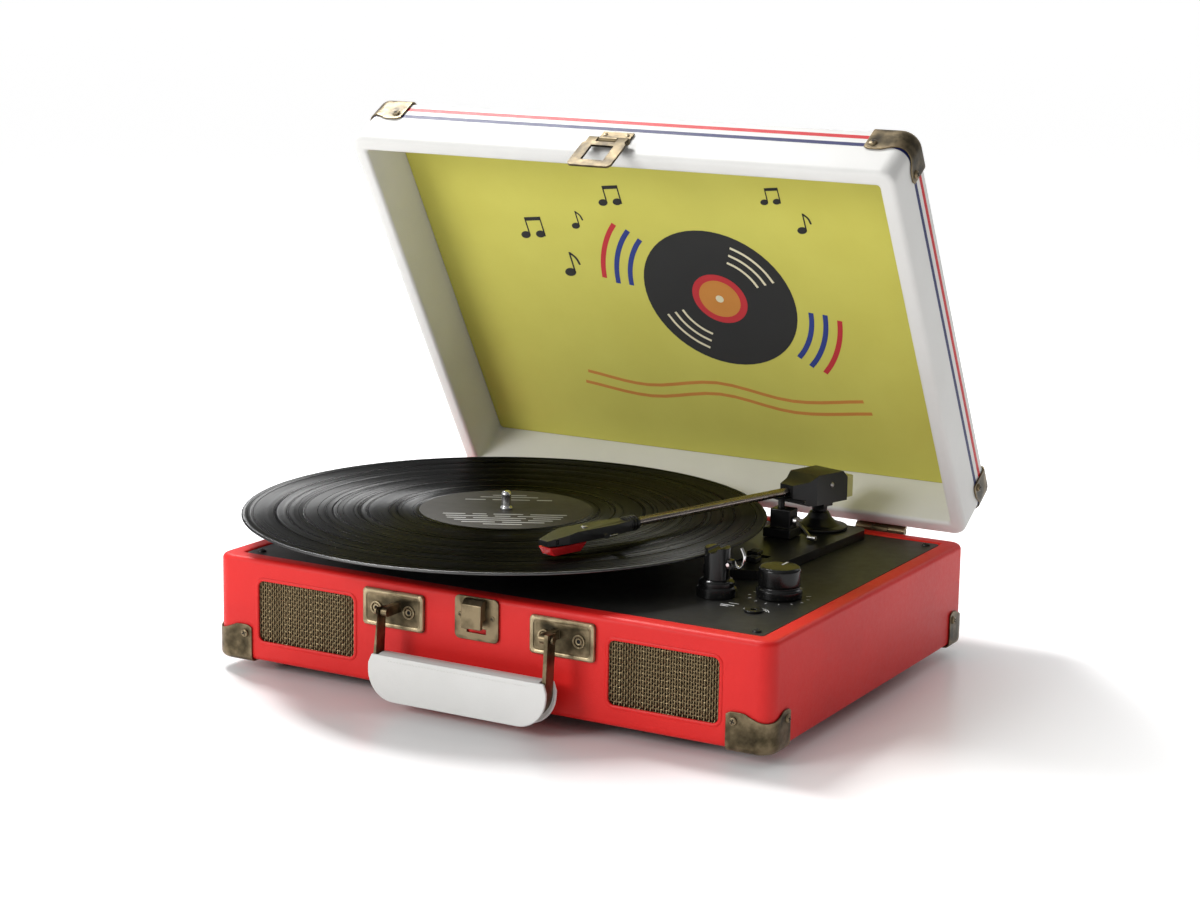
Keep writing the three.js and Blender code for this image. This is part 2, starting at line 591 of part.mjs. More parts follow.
function armHousing() {
  const half = 11;
  const side = polygon([[-30, -4.4], [-20, -9], [12, -9], [12, 5], [8, 9], [-14, 9], [-20, 5.5], [-30, 4.2]]);
  const geometry = new THREE.ExtrudeGeometry(side, { depth: 2 * half, bevelEnabled: false });
  geometry.applyMatrix4(new THREE.Matrix4().set(0, 0, 1, -half, 1, 0, 0, 0, 0, 1, 0, 0, 0, 0, 0, 1));
  const plan = prism(polygon([[-half, 12], [-half, -15], [-5, -30], [5, -30], [half, -15], [half, 12]]), -20, 20);
  const cavity = box(-7.4, 7.4, -11, 9, -20, 5);
  const pins = rodX(1.2, -8, 8, 0, 0, 12);
  const bore = rodY(TUBE_R + GAP, -31, -18, 0, 0, 16);
  return join(cut(solid(geometry).intersect(plan), cavity, bore), pins);
}

function armWeight() {
  return box(-10.4, 10.4, 12 + GAP, 18, -7.8, 5.4);
}

function armTube() {
  const bar = cut(rodY(TUBE_R, -COLLAR_S, -18 - GAP, 0, 0, 16), rodY(TUBE_R - 0.7, -COLLAR_S - 1, -17, 0, 0, 12));
  return bar;
}

function headshell() {
  const collar = rodY(4, -COLLAR_S - 8, -COLLAR_S + 2, 0, 0, 16);
  const plan = prism(polygon([[-4, -160], [4, -160], [6.8, -176], [6.8, -210], [3.6, -HEAD_S], [-3.6, -HEAD_S],
    [-6.8, -210], [-6.8, -176]]), -20, 20);
  const side = polygon([[-160, -3], [-160, 3], [-204, 3.4], [-HEAD_S, 0.4], [-HEAD_S, -2.6]]);
  const geometry = new THREE.ExtrudeGeometry(side, { depth: 20, bevelEnabled: false });
  geometry.applyMatrix4(new THREE.Matrix4().set(0, 0, 1, -10, 1, 0, 0, 0, 0, 1, 0, 0, 0, 0, 0, 1));
  const socket = rodY(TUBE_R + GAP, -COLLAR_S - GAP, -COLLAR_S + 3, 0, 0, 16);
  const pocket = box(-5.2, 5.2, -HEAD_S + 5, -178, -20, 0.6);
  return cut(join(collar, solid(geometry).intersect(plan)), socket, pocket);
}

const cartridge = () => box(-4.9, 4.9, -HEAD_S + 5.5, -179, -3.2, 0.3);

function stylus() {
  const side = polygon([[-HEAD_S + 1, -3.5], [-HEAD_S + 4, -8.2], [-200, -8.2], [-195, -3.5]]);
  const geometry = new THREE.ExtrudeGeometry(side, { depth: 10, bevelEnabled: false });
  geometry.applyMatrix4(new THREE.Matrix4().set(0, 0, 1, -5, 1, 0, 0, 0, 0, 1, 0, 0, 0, 0, 0, 1));
  return solid(geometry);
}

function fingerLift() {
  const path = new THREE.CatmullRomCurve3([new THREE.Vector3(7.6, -184, -1), new THREE.Vector3(10.5, -184.5, -1.2),
    new THREE.Vector3(14.5, -186, -0.6), new THREE.Vector3(18.5, -188, 1)]);
  const tab = polygon([[-0.5, -2.5], [0.5, -2.5], [0.5, 2.5], [-0.5, 2.5]]);
  return solid(new THREE.ExtrudeGeometry(tab, { steps: 6, extrudePath: path, bevelEnabled: false }));
}

// Cue lift: a block beside the pivot, a bar that rises under the tube, and its lever.
const CUE_S = 34;                  // distance of the cue bar from the pivot, along the arm
const [CUE_X, CUE_Y] = [PIVOT_X - CUE_S * Math.sin(ARM_YAW * RAD), PIVOT_Y - CUE_S * Math.cos(ARM_YAW * RAD)];
const CUE_H = 17;

function cueBlock() {
  const top = PLATE_TOP + CUE_H;
  return cut(join(box(CUE_X - 5, CUE_X + 8, CUE_Y - 5, CUE_Y + 6, PLATE_TOP + GAP, top),
    box(CUE_X - 8, CUE_X + 9.5, CUE_Y - 8, CUE_Y + 8, PLATE_TOP + GAP, PLATE_TOP + 6)),
    rod(2.3, top - 12, top + 1, CUE_X, CUE_Y, 12),
    rodX(2.1, CUE_X + 3, CUE_X + 12, CUE_Y, PLATE_TOP + 10, 12));
}

// The bar curves about the tonearm pivot, so the tube lies on it wherever the arm swings.
function cueBar() {
  const top = TUBE_Z - TUBE_R - 0.5;
  const [from, to] = [(-90 - 39) * RAD, (-90 + 10) * RAD];
  const bow = new THREE.Shape();
  bow.absarc(PIVOT_X, PIVOT_Y, CUE_S + 1.5, from, to, false);
  bow.absarc(PIVOT_X, PIVOT_Y, CUE_S - 1.5, to, from, true);
  return join(rod(2, PLATE_TOP + CUE_H - 7, top - 1.5, CUE_X, CUE_Y, 12), prism(bow, top - 1.6, top, 10));
}

// The lever's arm reaches out to the right of its pivot pin and down.
function cueLever() {
  const [y, z] = [CUE_Y, PLATE_TOP + 10];
  const hub = join(rodX(1.8, CUE_X + 4, CUE_X + 10, y, z, 12), rodX(3, CUE_X + 8.8, CUE_X + 11, y, z, 12));
  const path = new THREE.CatmullRomCurve3([[10.2, 0, 0], [13, -1.2, -1.4], [18.5, -3.6, -5], [21, -4.8, -6.6]]
    .map(([dx, dy, dz]) => new THREE.Vector3(CUE_X + dx, y + dy, z + dz)));
  const section = polygon([[-0.9, -0.6], [0.9, -0.6], [0.9, 0.6], [-0.9, 0.6]]);
  const arm = solid(new THREE.ExtrudeGeometry(section, { steps: 8, extrudePath: path, bevelEnabled: false }));
  const tip = rodX(1.6, CUE_X + 20, CUE_X + 25, y - 5, z - 7.4, 12);
  return join(hub, arm, tip);
}

// Arm rest: a flanged post with a shallow notch, and a wire clip hinged on its right side.
const REST_TOP = TUBE_Z - TUBE_R - 2;

function armRest() {
  const z = DECK_Z + GAP;
  const post = turned([[0, z], [10.9, z], [10.9, z + 4.6], [9.8, z + 5.6], [9.8, z + 8], [8.6, z + 9.2],
    [7, z + 9.6], [7, REST_TOP], [0, REST_TOP]], REST_X, REST_Y, 24);
  const notch = rodY(3.2, REST_Y - 10, REST_Y + 10, REST_X, REST_TOP + 0.6, 16);
  const ear = box(REST_X + 5, REST_X + 9.6, REST_Y - 2, REST_Y + 2, CLIP_Z - 2.4, CLIP_Z + 2.4);
  const bore = rodY(1.3, REST_Y - 10, REST_Y + 10, REST_X + CLIP_DX, CLIP_Z, 12);
  return cut(join(post, ear), notch, bore);
}

const CLIP_DX = 7.8;
const CLIP_Z = RIM_Z + 18;

// The clip is drawn open: a wire bow that stands away to the right of the post.
function armClip() {
  const [x, y, z] = [REST_X + CLIP_DX, REST_Y, CLIP_Z];
  const wire = polygon([[-0.8, -0.8], [0.8, -0.8], [0.8, 0.8], [-0.8, 0.8]]);
  const bow = new THREE.CatmullRomCurve3([[0, 0], [2, -2.2], [4.4, -2.2], [6, 0.4], [6.2, 4.5], [4.4, 8.5]]
    .map(([dx, dz]) => new THREE.Vector3(x + dx, y + 4, z + dz)));
  const arm = solid(new THREE.ExtrudeGeometry(wire, { steps: 14, extrudePath: bow, bevelEnabled: false }));
  return join(rodY(1, y - 3.4, y + 4.6, x, z, 12), arm);
}

function volumeKnob() {
  const z = DECK_Z + GAP;
  return turned([[0, z - 6], [3.2, z - 6], [3.2, z], [12.6, z], [12.6, z + 5], [11.5, z + 5.6], [11.5, z + 15.6],
    [10.3, z + 17], [0, z + 17]], KNOB_X, KNOB_Y, 32);
}

function tonearm(group) {
  add(group, 'tonearm_plate', tonearmPlate(), blackPlastic());
  add(group, 'tonearm_turret', tonearmTurret(), blackPlastic());
  add(group, 'speed_switch', slideSwitch(SPEED_Y, -3), blackPlastic());
  add(group, 'autostop_switch', slideSwitch(STOP_Y, 3), blackPlastic());
  add(group, 'cue_block', cueBlock(), blackPlastic());
  add(group, 'cue_bar', cueBar(), steel());
  add(group, 'cue_lever', cueLever(), steel());
  add(group, 'arm_rest', armRest(), blackPlastic());
  add(group, 'arm_clip', armClip(), steel());
  add(group, 'volume_knob', volumeKnob(), blackPlastic());
  const arm = new THREE.Group();
  arm.position.set(PIVOT_X, PIVOT_Y, TUBE_Z);
  arm.rotation.z = -ARM_YAW * RAD;
  add(arm, 'arm_yoke', armYoke(), steel());
  add(arm, 'arm_housing', armHousing(), blackPlastic());
  add(arm, 'arm_weight', armWeight(), material(0x303030, 0.4, 0.7));
  add(arm, 'arm_tube', armTube(), material(0x6c6460, 0.3, 1));
  add(arm, 'headshell', headshell(), blackPlastic());
  add(arm, 'cartridge', cartridge(), material(0x1e1e1e, 0.5));
  add(arm, 'stylus', stylus(), material(0xc8141f, 0.35));
  add(arm, 'finger_lift', fingerLift(), steel());
  group.add(arm);
}

// ---------------------------------------------------------------- assembly
const player = new THREE.Group();
player.position.set(MIDDLE_X, MIDDLE_Y, 0);
lowerCase(player);
handle(player);
lid(player);
turntable(player);
tonearm(player);

export default player;
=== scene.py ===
"""Suitcase record player: the looks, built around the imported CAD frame.

Shapes are drawn in millimetres in the frame of the thing they belong to (case, lid, tonearm or
handle) and carried to metres by that frame's matrix.
"""
import json
import math

import bmesh
import bpy
from mathutils import Matrix, Vector

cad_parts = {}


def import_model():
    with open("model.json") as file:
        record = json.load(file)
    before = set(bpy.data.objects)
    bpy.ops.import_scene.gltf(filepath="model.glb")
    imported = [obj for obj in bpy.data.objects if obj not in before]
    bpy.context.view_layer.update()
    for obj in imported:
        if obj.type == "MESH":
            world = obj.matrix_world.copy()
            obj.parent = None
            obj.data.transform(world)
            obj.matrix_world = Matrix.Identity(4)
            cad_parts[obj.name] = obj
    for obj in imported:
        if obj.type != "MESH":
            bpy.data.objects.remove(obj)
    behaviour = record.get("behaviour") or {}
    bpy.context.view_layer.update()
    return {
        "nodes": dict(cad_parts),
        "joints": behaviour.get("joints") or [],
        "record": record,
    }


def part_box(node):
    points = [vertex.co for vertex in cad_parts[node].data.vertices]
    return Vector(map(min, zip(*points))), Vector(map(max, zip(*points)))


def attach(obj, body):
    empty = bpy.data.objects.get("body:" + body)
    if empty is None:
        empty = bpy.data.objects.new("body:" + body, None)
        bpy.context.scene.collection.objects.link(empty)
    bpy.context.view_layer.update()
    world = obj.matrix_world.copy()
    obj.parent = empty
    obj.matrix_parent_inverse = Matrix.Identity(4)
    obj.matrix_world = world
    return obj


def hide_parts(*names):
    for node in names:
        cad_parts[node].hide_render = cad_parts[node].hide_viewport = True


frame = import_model()

# ------------------------------------------------------------------ places, from the frame
MM = 0.001
JOINTS = {joint["name"]: joint for joint in frame["joints"]}


def size_mm(node):
    low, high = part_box(node)
    return [(high[i] - low[i]) / MM for i in range(3)]


def middle(node):
    low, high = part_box(node)
    return Vector([(low[i] + high[i]) / 2 for i in range(3)])


def z_span(node):
    low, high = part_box(node)
    return low[2] / MM, high[2] / MM


CASE_W, CASE_D, _ = size_mm("base_case")
FOOT_H, RIM_Z = z_span("base_case")
CASE_X, CASE_Y = (middle("base_case")[i] / MM for i in range(2))
DECK_Z = z_span("deck_plate")[1]
FRONT = -CASE_D / 2
SIDES = (("left", -1), ("right", 1))

# Shapes that the boxes don't give, in mm, and the angles of the rest pose.
CASE_R = 9              # the case's and the lid's upright corners
RIM_W = 11.5            # the black rim round the deck
LID_H = 39
LID_WALL = 9.5
LID_INNER = 34.5        # from the lid's edge to its liner
LID_OPEN = math.radians(59)
ARM_YAW = math.radians(16.4)
HANDLE_TILT = math.radians(4)


def place(origin_m=(0, 0, 0), turn=None):
    return Matrix.Translation(origin_m) @ (turn or Matrix()) @ Matrix.Scale(MM, 4)


def turned_about(axis, angle):
    return Matrix.Rotation(angle, 4, axis)


CASE = place((CASE_X * MM, CASE_Y * MM, 0))
LID = place(JOINTS["lid_hinge"]["pos_m"], turned_about("X", -LID_OPEN))
ARM = place(JOINTS["arm_swing"]["pos_m"], turned_about("Z", -ARM_YAW))
HANDLE = place(JOINTS["handle_pivot"]["pos_m"], turned_about("X", -HANDLE_TILT))
LID_MID = -(JOINTS["lid_hinge"]["pos_m"][1] / MM - CASE_Y)
SPINDLE = middle("spindle")


def under(node):
    """The frame of an upright turned part: on its axis, with z up from the floor."""
    centre = middle(node)
    return place((centre.x, centre.y, 0))


def in_case(node):
    """A node's middle, in the case's own millimetres."""
    centre = middle(node)
    return centre.x / MM - CASE_X, centre.y / MM - CASE_Y, centre.z / MM


SPINDLE_AT = under("spindle")


# ------------------------------------------------------------------ materials
def shader(name, color, roughness, metallic=0.0, coat=0.0):
    material = bpy.data.materials.new(name)
    material.use_nodes = True
    bsdf = material.node_tree.nodes["Principled BSDF"]
    bsdf.inputs["Base Color"].default_value = (*color, 1)
    bsdf.inputs["Roughness"].default_value = roughness
    bsdf.inputs["Metallic"].default_value = metallic
    bsdf.inputs["Coat Weight"].default_value = coat
    bsdf.inputs["Coat Roughness"].default_value = 0.12
    return material


class Tree:
    """Short names for building one material's nodes."""

    def __init__(self, material):
        self.nodes = material.node_tree.nodes
        self.links = material.node_tree.links
        self.bsdf = self.nodes["Principled BSDF"]
        self.where = self.nodes.new("ShaderNodeTexCoord").outputs["Object"]

    def link(self, out, socket):
        self.links.new(out, socket)

    def colour(self, out):
        self.link(out, self.bsdf.inputs["Base Color"])

    def roughness(self, out):
        self.link(out, self.bsdf.inputs["Roughness"])

    def normal(self, out):
        self.link(out, self.bsdf.inputs["Normal"])

    def noise(self, scale, detail=3.0, stretch=None):
        node = self.nodes.new("ShaderNodeTexNoise")
        node.inputs["Scale"].default_value = scale
        node.inputs["Detail"].default_value = detail
        self.link(self.stretched(stretch) if stretch else self.where, node.inputs["Vector"])
        return node.outputs["Fac"]

    def stretched(self, scale, offset=(0, 0, 0)):
        node = self.nodes.new("ShaderNodeMapping")
        node.inputs["Scale"].default_value = scale
        node.inputs["Location"].default_value = offset
        self.link(self.where, node.inputs["Vector"])
        return node.outputs["Vector"]

    def cells(self, scale):
        node = self.nodes.new("ShaderNodeTexVoronoi")
        node.feature = "SMOOTH_F1"
        node.inputs["Scale"].default_value = scale
        self.link(self.where, node.inputs["Vector"])
        return node.outputs["Distance"]

    def ramp(self, value, *stops):
        node = self.nodes.new("ShaderNodeValToRGB")
        ramp = node.color_ramp
        while len(ramp.elements) < len(stops):
            ramp.elements.new(0.5)
        for element, (position, color) in zip(ramp.elements, stops):
            element.position = position
            element.color = (*color, 1)
        self.link(value, node.inputs["Fac"])
        return node.outputs["Color"]

    def math(self, operation, a, b=0.0):
        node = self.nodes.new("ShaderNodeMath")
        node.operation = operation
        for socket, value in zip(node.inputs, (a, b)):
            if isinstance(value, (int, float)):
                socket.default_value = value
            else:
                self.link(value, socket)
        return node.outputs[0]

    def span(self, value, low, high):
        node = self.nodes.new("ShaderNodeMapRange")
        node.inputs["To Min"].default_value = low
        node.inputs["To Max"].default_value = high
        self.link(value, node.inputs["Value"])
        return node.outputs["Result"]

    def bump(self, height, depth_m, strength=1.0, under=None):
        node = self.nodes.new("ShaderNodeBump")
        node.inputs["Distance"].default_value = depth_m
        node.inputs["Strength"].default_value = strength
        self.link(height, node.inputs["Height"])
        if under:
            self.link(under, node.inputs["Normal"])
        return node.outputs["Normal"]


def grey(value):
    return (value, value, value)


def leatherette(name, color, shade, roughness=0.46):
    material = shader(name, color, roughness)
    tree = Tree(material)
    tree.colour(tree.ramp(tree.noise(18, 4), (0.3, shade), (0.7, color)))
    tree.roughness(tree.span(tree.noise(300), roughness - 0.07, roughness + 0.1))
    grain = tree.bump(tree.cells(1100), 0.00012, 0.5)
    tree.normal(tree.bump(tree.noise(2600), 0.00004, 0.6, grain))
    tree.bsdf.inputs["Specular IOR Level"].default_value = 0.3
    return material


def aged_brass(name, dark, mid, light):
    """Brass that is brown in its hollows and bright along its worn edges."""
    material = shader(name, mid, 0.4, 0.9)
    tree = Tree(material)
    edge = tree.nodes.new("ShaderNodeNewGeometry").outputs["Pointiness"]
    worn = tree.math("MULTIPLY", tree.math("SUBTRACT", edge, 0.5), 5.0)
    patch = tree.math("ADD", tree.noise(110, 6), worn)
    tree.colour(tree.ramp(patch, (0.36, dark), (0.55, mid), (0.78, light)))
    tree.roughness(tree.span(tree.noise(400, 4), 0.28, 0.55))
    tree.normal(tree.bump(tree.noise(900, 4), 0.00005, 0.5))
    return material


def moulded(name, color, roughness, grain=0.6, scale=2200):
    material = shader(name, color, roughness)
    tree = Tree(material)
    tree.bsdf.inputs["Specular IOR Level"].default_value = 0.32
    tree.roughness(tree.span(tree.noise(160), roughness - 0.05, roughness + 0.08))
    lighter = tuple(min(1, channel * 1.25 + 0.002) for channel in color)
    tree.colour(tree.ramp(tree.noise(70, 4), (0.35, color), (0.7, lighter)))
    tree.normal(tree.bump(tree.noise(scale), 0.00004, grain))
    return material


def metal(name, color, roughness, brushed=(1, 1, 1)):
    material = shader(name, color, roughness, 1.0)
    tree = Tree(material)
    lines = tree.noise(500, 4, brushed)
    tree.roughness(tree.span(lines, roughness * 0.7, roughness * 1.5))
    darker = tuple(channel * 0.85 for channel in color)
    tree.colour(tree.ramp(tree.noise(60), (0.3, darker), (0.7, color)))
    tree.normal(tree.bump(lines, 0.00001, 0.4))
    return material


def grooved_vinyl():
    """Black vinyl that shines across its grooves, as metal does that is brushed round and round."""
    groove_pitch_m = 0.0011
    material = shader("record_vinyl", grey(0.05), 0.3, 1.0)
    tree = Tree(material)
    split = tree.nodes.new("ShaderNodeVectorMath")
    split.operation = "LENGTH"
    flat = tree.stretched((1, 1, 0), (-SPINDLE[0], -SPINDLE[1], 0))
    tree.link(flat, split.inputs[0])
    radius = split.outputs["Value"]
    groove = tree.math("SINE", tree.math("MULTIPLY", radius, 2 * math.pi / groove_pitch_m))
    track = tree.nodes.new("ShaderNodeTexNoise")
    track.noise_dimensions = "1D"
    track.inputs["Scale"].default_value = 420
    track.inputs["Detail"].default_value = 5
    tree.link(radius, track.inputs["W"])
    bands = track.outputs["Fac"]
    tree.colour(tree.ramp(bands, (0.35, grey(0.1)), (0.7, grey(0.16))))
    tree.roughness(tree.span(bands, 0.2, 0.4))
    fine = tree.bump(groove, 0.00002, 0.35)
    tree.normal(tree.bump(bands, 0.00002, 0.4, fine))
    around = tree.nodes.new("ShaderNodeTangent")
    around.direction_type = "RADIAL"
    around.axis = "Z"
    tree.link(around.outputs["Tangent"], tree.bsdf.inputs["Tangent"])
    tree.bsdf.inputs["Anisotropic"].default_value = 0.9
    tree.bsdf.inputs["Specular Tint"].default_value = (*grey(0.2), 1)
    return material


def cloth(name, color, shade):
    thread_scale = 1500
    material = shader(name, color, 0.85)
    tree = Tree(material)
    tree.bsdf.inputs["Sheen Weight"].default_value = 0.15
    tree.colour(tree.ramp(tree.noise(25, 5), (0.3, shade), (0.7, color)))
    warp = tree.noise(thread_scale, 2, (0.1, 1, 1))
    weft = tree.noise(thread_scale, 2, (1, 0.1, 0.1))
    tree.normal(tree.bump(tree.math("ADD", warp, weft), 0.00006, 0.5))
    return material


RED = leatherette("red_leatherette", (0.74, 0.017, 0.014), (0.64, 0.012, 0.011))
WHITE = leatherette("white_leatherette", (0.74, 0.735, 0.715), (0.68, 0.675, 0.65), 0.5)
LINER = cloth("liner_cloth", (0.62, 0.585, 0.105), (0.585, 0.545, 0.09))
BRASS = aged_brass("aged_brass", (0.022, 0.017, 0.009), (0.08, 0.062, 0.034), (0.22, 0.17, 0.1))
DARK_BRASS = aged_brass("dark_brass",
                        (0.012, 0.009, 0.005), (0.04, 0.03, 0.016), (0.13, 0.1, 0.055))
WORN_BRASS = aged_brass("worn_brass", (0.06, 0.045, 0.025), (0.2, 0.155, 0.09), (0.42, 0.34, 0.21))
MESH_BRASS = aged_brass("mesh_brass",
                        (0.025, 0.018, 0.009), (0.085, 0.06, 0.032), (0.22, 0.165, 0.09))
PLASTIC = moulded("black_plastic", grey(0.007), 0.3)
GLOSS = moulded("gloss_black", grey(0.005), 0.18, 0.2)
DECK = moulded("deck_black", (0.016, 0.0155, 0.014), 0.42, 0.9, 1500)
RUBBER = moulded("rubber", grey(0.012), 0.75, 1.0, 900)
BOARD = moulded("fibreboard", (0.03, 0.028, 0.026), 0.8, 1.0, 700)
CHROME = metal("chrome", (0.72, 0.72, 0.72), 0.1)
STEEL = metal("plated_steel", (0.42, 0.41, 0.4), 0.28, (1, 1, 12))
DARK_CHROME = metal("dark_chrome", (0.3, 0.26, 0.24), 0.24, (1, 0.1, 1))
BRIGHT_WEIGHT = moulded("weight_paint", (0.5, 0.48, 0.2), 0.35, 0.2)
ALUMINIUM = metal("turned_aluminium", (0.05, 0.05, 0.052), 0.38)
VINYL = grooved_vinyl()
LABEL = moulded("label_paper", (0.035, 0.032, 0.029), 0.6, 0.5, 1200)
LABEL_INK = moulded("label_ink", grey(0.42), 0.5)
STYLUS = moulded("stylus_red", (0.6, 0.012, 0.014), 0.22, 0.15)
STRIPE_RED = leatherette("stripe_red", (0.58, 0.012, 0.018), (0.5, 0.01, 0.014))
STRIPE_NAVY = leatherette("stripe_navy", (0.012, 0.018, 0.11), (0.01, 0.012, 0.08))
PRINT_WHITE = moulded("print_white", grey(0.7), 0.5)
INK_BLACK = cloth("ink_black", grey(0.012), grey(0.009))
INK_ORANGE = cloth("ink_orange", (0.62, 0.25, 0.04), (0.55, 0.21, 0.03))
INK_RED = cloth("ink_red", (0.55, 0.02, 0.03), (0.5, 0.017, 0.025))
INK_BLUE = cloth("ink_blue", (0.015, 0.04, 0.25), (0.012, 0.03, 0.2))
INK_CREAM = cloth("ink_cream", (0.75, 0.7, 0.5), (0.7, 0.65, 0.45))
# Painted shade: a near-black that stands in for the shade inside screw slots and rivet bores.
SLOT_PAINTED_SHADE = moulded("slot_shadow", grey(0.01), 0.8)


# ------------------------------------------------------------------ mesh helpers
def finish_piece(name, bm, at, body, material, replaces=(), sharp=35):
    """Carries a shape to its place and makes it a piece of the object."""
    bm.transform(at)
    bmesh.ops.recalc_face_normals(bm, faces=bm.faces)
    mesh = bpy.data.meshes.new(name)
    bm.to_mesh(mesh)
    bm.free()
    mesh.shade_smooth()
    mesh.set_sharp_from_angle(angle=math.radians(sharp))
    piece = bpy.data.objects.new(name, mesh)
    bpy.context.scene.collection.objects.link(piece)
    mesh.materials.append(material)
    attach(piece, body)
    if replaces:
        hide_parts(*replaces)
    return piece


def bevelled(piece, width_mm, segments=3, angle=35):
    bevel = piece.modifiers.new("edges", "BEVEL")
    bevel.width = width_mm * MM
    bevel.segments = segments
    bevel.limit_method = "ANGLE"
    bevel.angle_limit = math.radians(angle)
    bevel.harden_normals = True
    return piece


BODIES = frame["record"]["behaviour"]["bodies"]
BODY_OF = {node: body for body, nodes in BODIES.items() for node in nodes}


def refined(node, material, width_mm=0.4, segments=3):
    """The node's own shape with its flat faces made whole and its edges rounded."""
    bm = bmesh.new()
    bm.from_mesh(frame["nodes"][node].data)
    bmesh.ops.remove_doubles(bm, verts=bm.verts, dist=1e-6)
    bmesh.ops.dissolve_limit(bm, angle_limit=math.radians(0.5), verts=bm.verts, edges=bm.edges)
    piece = finish_piece(f"{node}_finished", bm, Matrix(), BODY_OF[node], material,
                         [node])
    return bevelled(piece, width_mm, segments)


def repainted(node, material):
    """Gives a CAD node that stays in view a better material."""
    slots = frame["nodes"][node].data.materials
    slots.clear()
    slots.append(material)


def rounded_rect(w, h, r, steps=8):
    """Points round a rounded rectangle, with the same count whatever its size."""
    points = []
    for corner, (sx, sy) in enumerate(((1, -1), (1, 1), (-1, 1), (-1, -1))):
        start = -math.pi / 2 + corner * math.pi / 2
        for i in range(steps + 1):
            angle = start + math.pi / 2 * i / steps
            points.append((sx * (w / 2 - r) + r * math.cos(angle),
                           sy * (h / 2 - r) + r * math.sin(angle)))
    return points


def loft(loops, closed=False, caps=True):
    """Joins loops of points into a skin: a ring if closed, else capped at both ends."""
    bm = bmesh.new()
    rows = [[bm.verts.new(point) for point in loop] for loop in loops]
    pairs = list(zip(rows, rows[1:]))
    if closed:
        pairs.append((rows[-1], rows[0]))
    for a, b in pairs:
        for i in range(len(a)):
            k = (i + 1) % len(a)
            bm.faces.new((a[i], a[k], b[k], b[i]))
    if caps and not closed:
        bm.faces.new(rows[0])
        bm.faces.new(rows[-1])
    return bm


def rect_loft(w, d, r, profile, closed=False, centre_y=0, least_r=2.2, steps=8):
    """Sweeps a profile of (inset, z) round a rounded rectangle."""
    loops = []
    for inset, z in profile:
        radius = max(r - inset, least_r)
        outline = rounded_rect(w - 2 * inset, d - 2 * inset, radius, steps)
        loops.append([(x, y + centre_y, z) for x, y in outline])
    return loft(loops, closed)


def arc(cx, cy, r, start, end, steps=5):
    """Points on an arc, with angles in degrees."""
    span = [math.radians(start + (end - start) * i / steps) for i in range(steps + 1)]
    return [(cx + r * math.cos(a), cy + r * math.sin(a)) for a in span]


def lathe(profile, segments=64):
    """Turns a profile of (radius, z) that starts and ends on the axis, or closes on itself."""
    bm = bmesh.new()
    on_axis = profile[0][0] == 0
    body = profile[1:-1] if on_axis else profile
    rows = []
    for radius, z in body:
        turns = [2 * math.pi * i / segments for i in range(segments)]
        rows.append([bm.verts.new((radius * math.cos(a), radius * math.sin(a), z)) for a in turns])
    pairs = list(zip(rows, rows[1:]))
    if not on_axis:
        pairs.append((rows[-1], rows[0]))
    for a, b in pairs:
        for i in range(segments):
            k = (i + 1) % segments
            bm.faces.new((a[i], a[k], b[k], b[i]))
    if on_axis:
        for row, (_, z) in ((rows[0], profile[0]), (rows[-1], profile[-1])):
            tip = bm.verts.new((0, 0, z))
            for i in range(segments):
                bm.faces.new((row[i], row[(i + 1) % segments], tip))
    return bm


def softened(profile, r=0.4, steps=3):
    """Rounds each corner of an open profile that stands clear of the axis."""
    points = [Vector(point) for point in profile]
    result = [tuple(points[0])]
    for before, corner, after in zip(points, points[1:], points[2:]):
        a, b = before - corner, after - corner
        reach = min(r, a.length * 0.45, b.length * 0.45)
        start, end = corner + a.normalized() * reach, corner + b.normalized() * reach
        for i in range(steps + 1):
            t = i / steps
            result.append(tuple((1 - t) ** 2 * start + 2 * t * (1 - t) * corner + t * t * end))
    result.append(tuple(points[-1]))
    return result


def tube(points, radius, sides=10):
    """A round bar along a smooth run of points, capped flat at both ends."""
    path = [Vector(point) for point in points]
    loops = []
    normal = None
    for i, here in enumerate(path):
        along = (path[min(i + 1, len(path) - 1)] - path[max(i - 1, 0)]).normalized()
        normal = along.orthogonal() if normal is None else normal - along * normal.dot(along)
        normal.normalize()
        side = along.cross(normal)
        turns = [2 * math.pi * k / sides for k in range(sides)]
        loops.append([here + radius * (math.cos(a) * normal + math.sin(a) * side) for a in turns])
    return loft(loops)


def smooth_run(points, steps=6):
    """Catmull-Rom points through a few chosen ones."""
    path = [Vector(point) for point in points]
    path = [2 * path[0] - path[1]] + path + [2 * path[-1] - path[-2]]
    result = []
    for a, b, c, d in zip(path, path[1:], path[2:], path[3:]):
        for i in range(steps):
            t = i / steps
            result.append(0.5 * (2 * b + (c - a) * t + (2 * a - 5 * b + 4 * c - d) * t * t
                                 + (3 * b - a - 3 * c + d) * t ** 3))
    result.append(path[-2])
    return result


def slab(outline, z0, z1):
    """A flat outline given a thickness."""
    return loft([[(x, y, z0) for x, y in outline], [(x, y, z1) for x, y in outline]])


def merged(parts):
    """Several shapes as one."""
    whole = bmesh.new()
    for part in parts:
        mesh = bpy.data.meshes.new("part")
        part.to_mesh(mesh)
        part.free()
        whole.from_mesh(mesh)
        bpy.data.meshes.remove(mesh)
    return whole


def moved(bm, matrix):
    bm.transform(matrix)
    return bm


def shift(x, y, z):
    return Matrix.Translation((x, y, z))


FACE_FRONT = turned_about("X", math.pi / 2)      # local z points to -Y, and local y points up
FACE_BACK = turned_about("X", -math.pi / 2) @ turned_about("Z", math.pi)     # the same, to +Y


def screw_head(r, high):
    """A domed head that stands on z = 0."""
    return lathe([(0, -0.4), (r, -0.4), (r, high * 0.25), (r * 0.86, high * 0.7),
                  (r * 0.5, high * 0.97), (0, high)], 28)


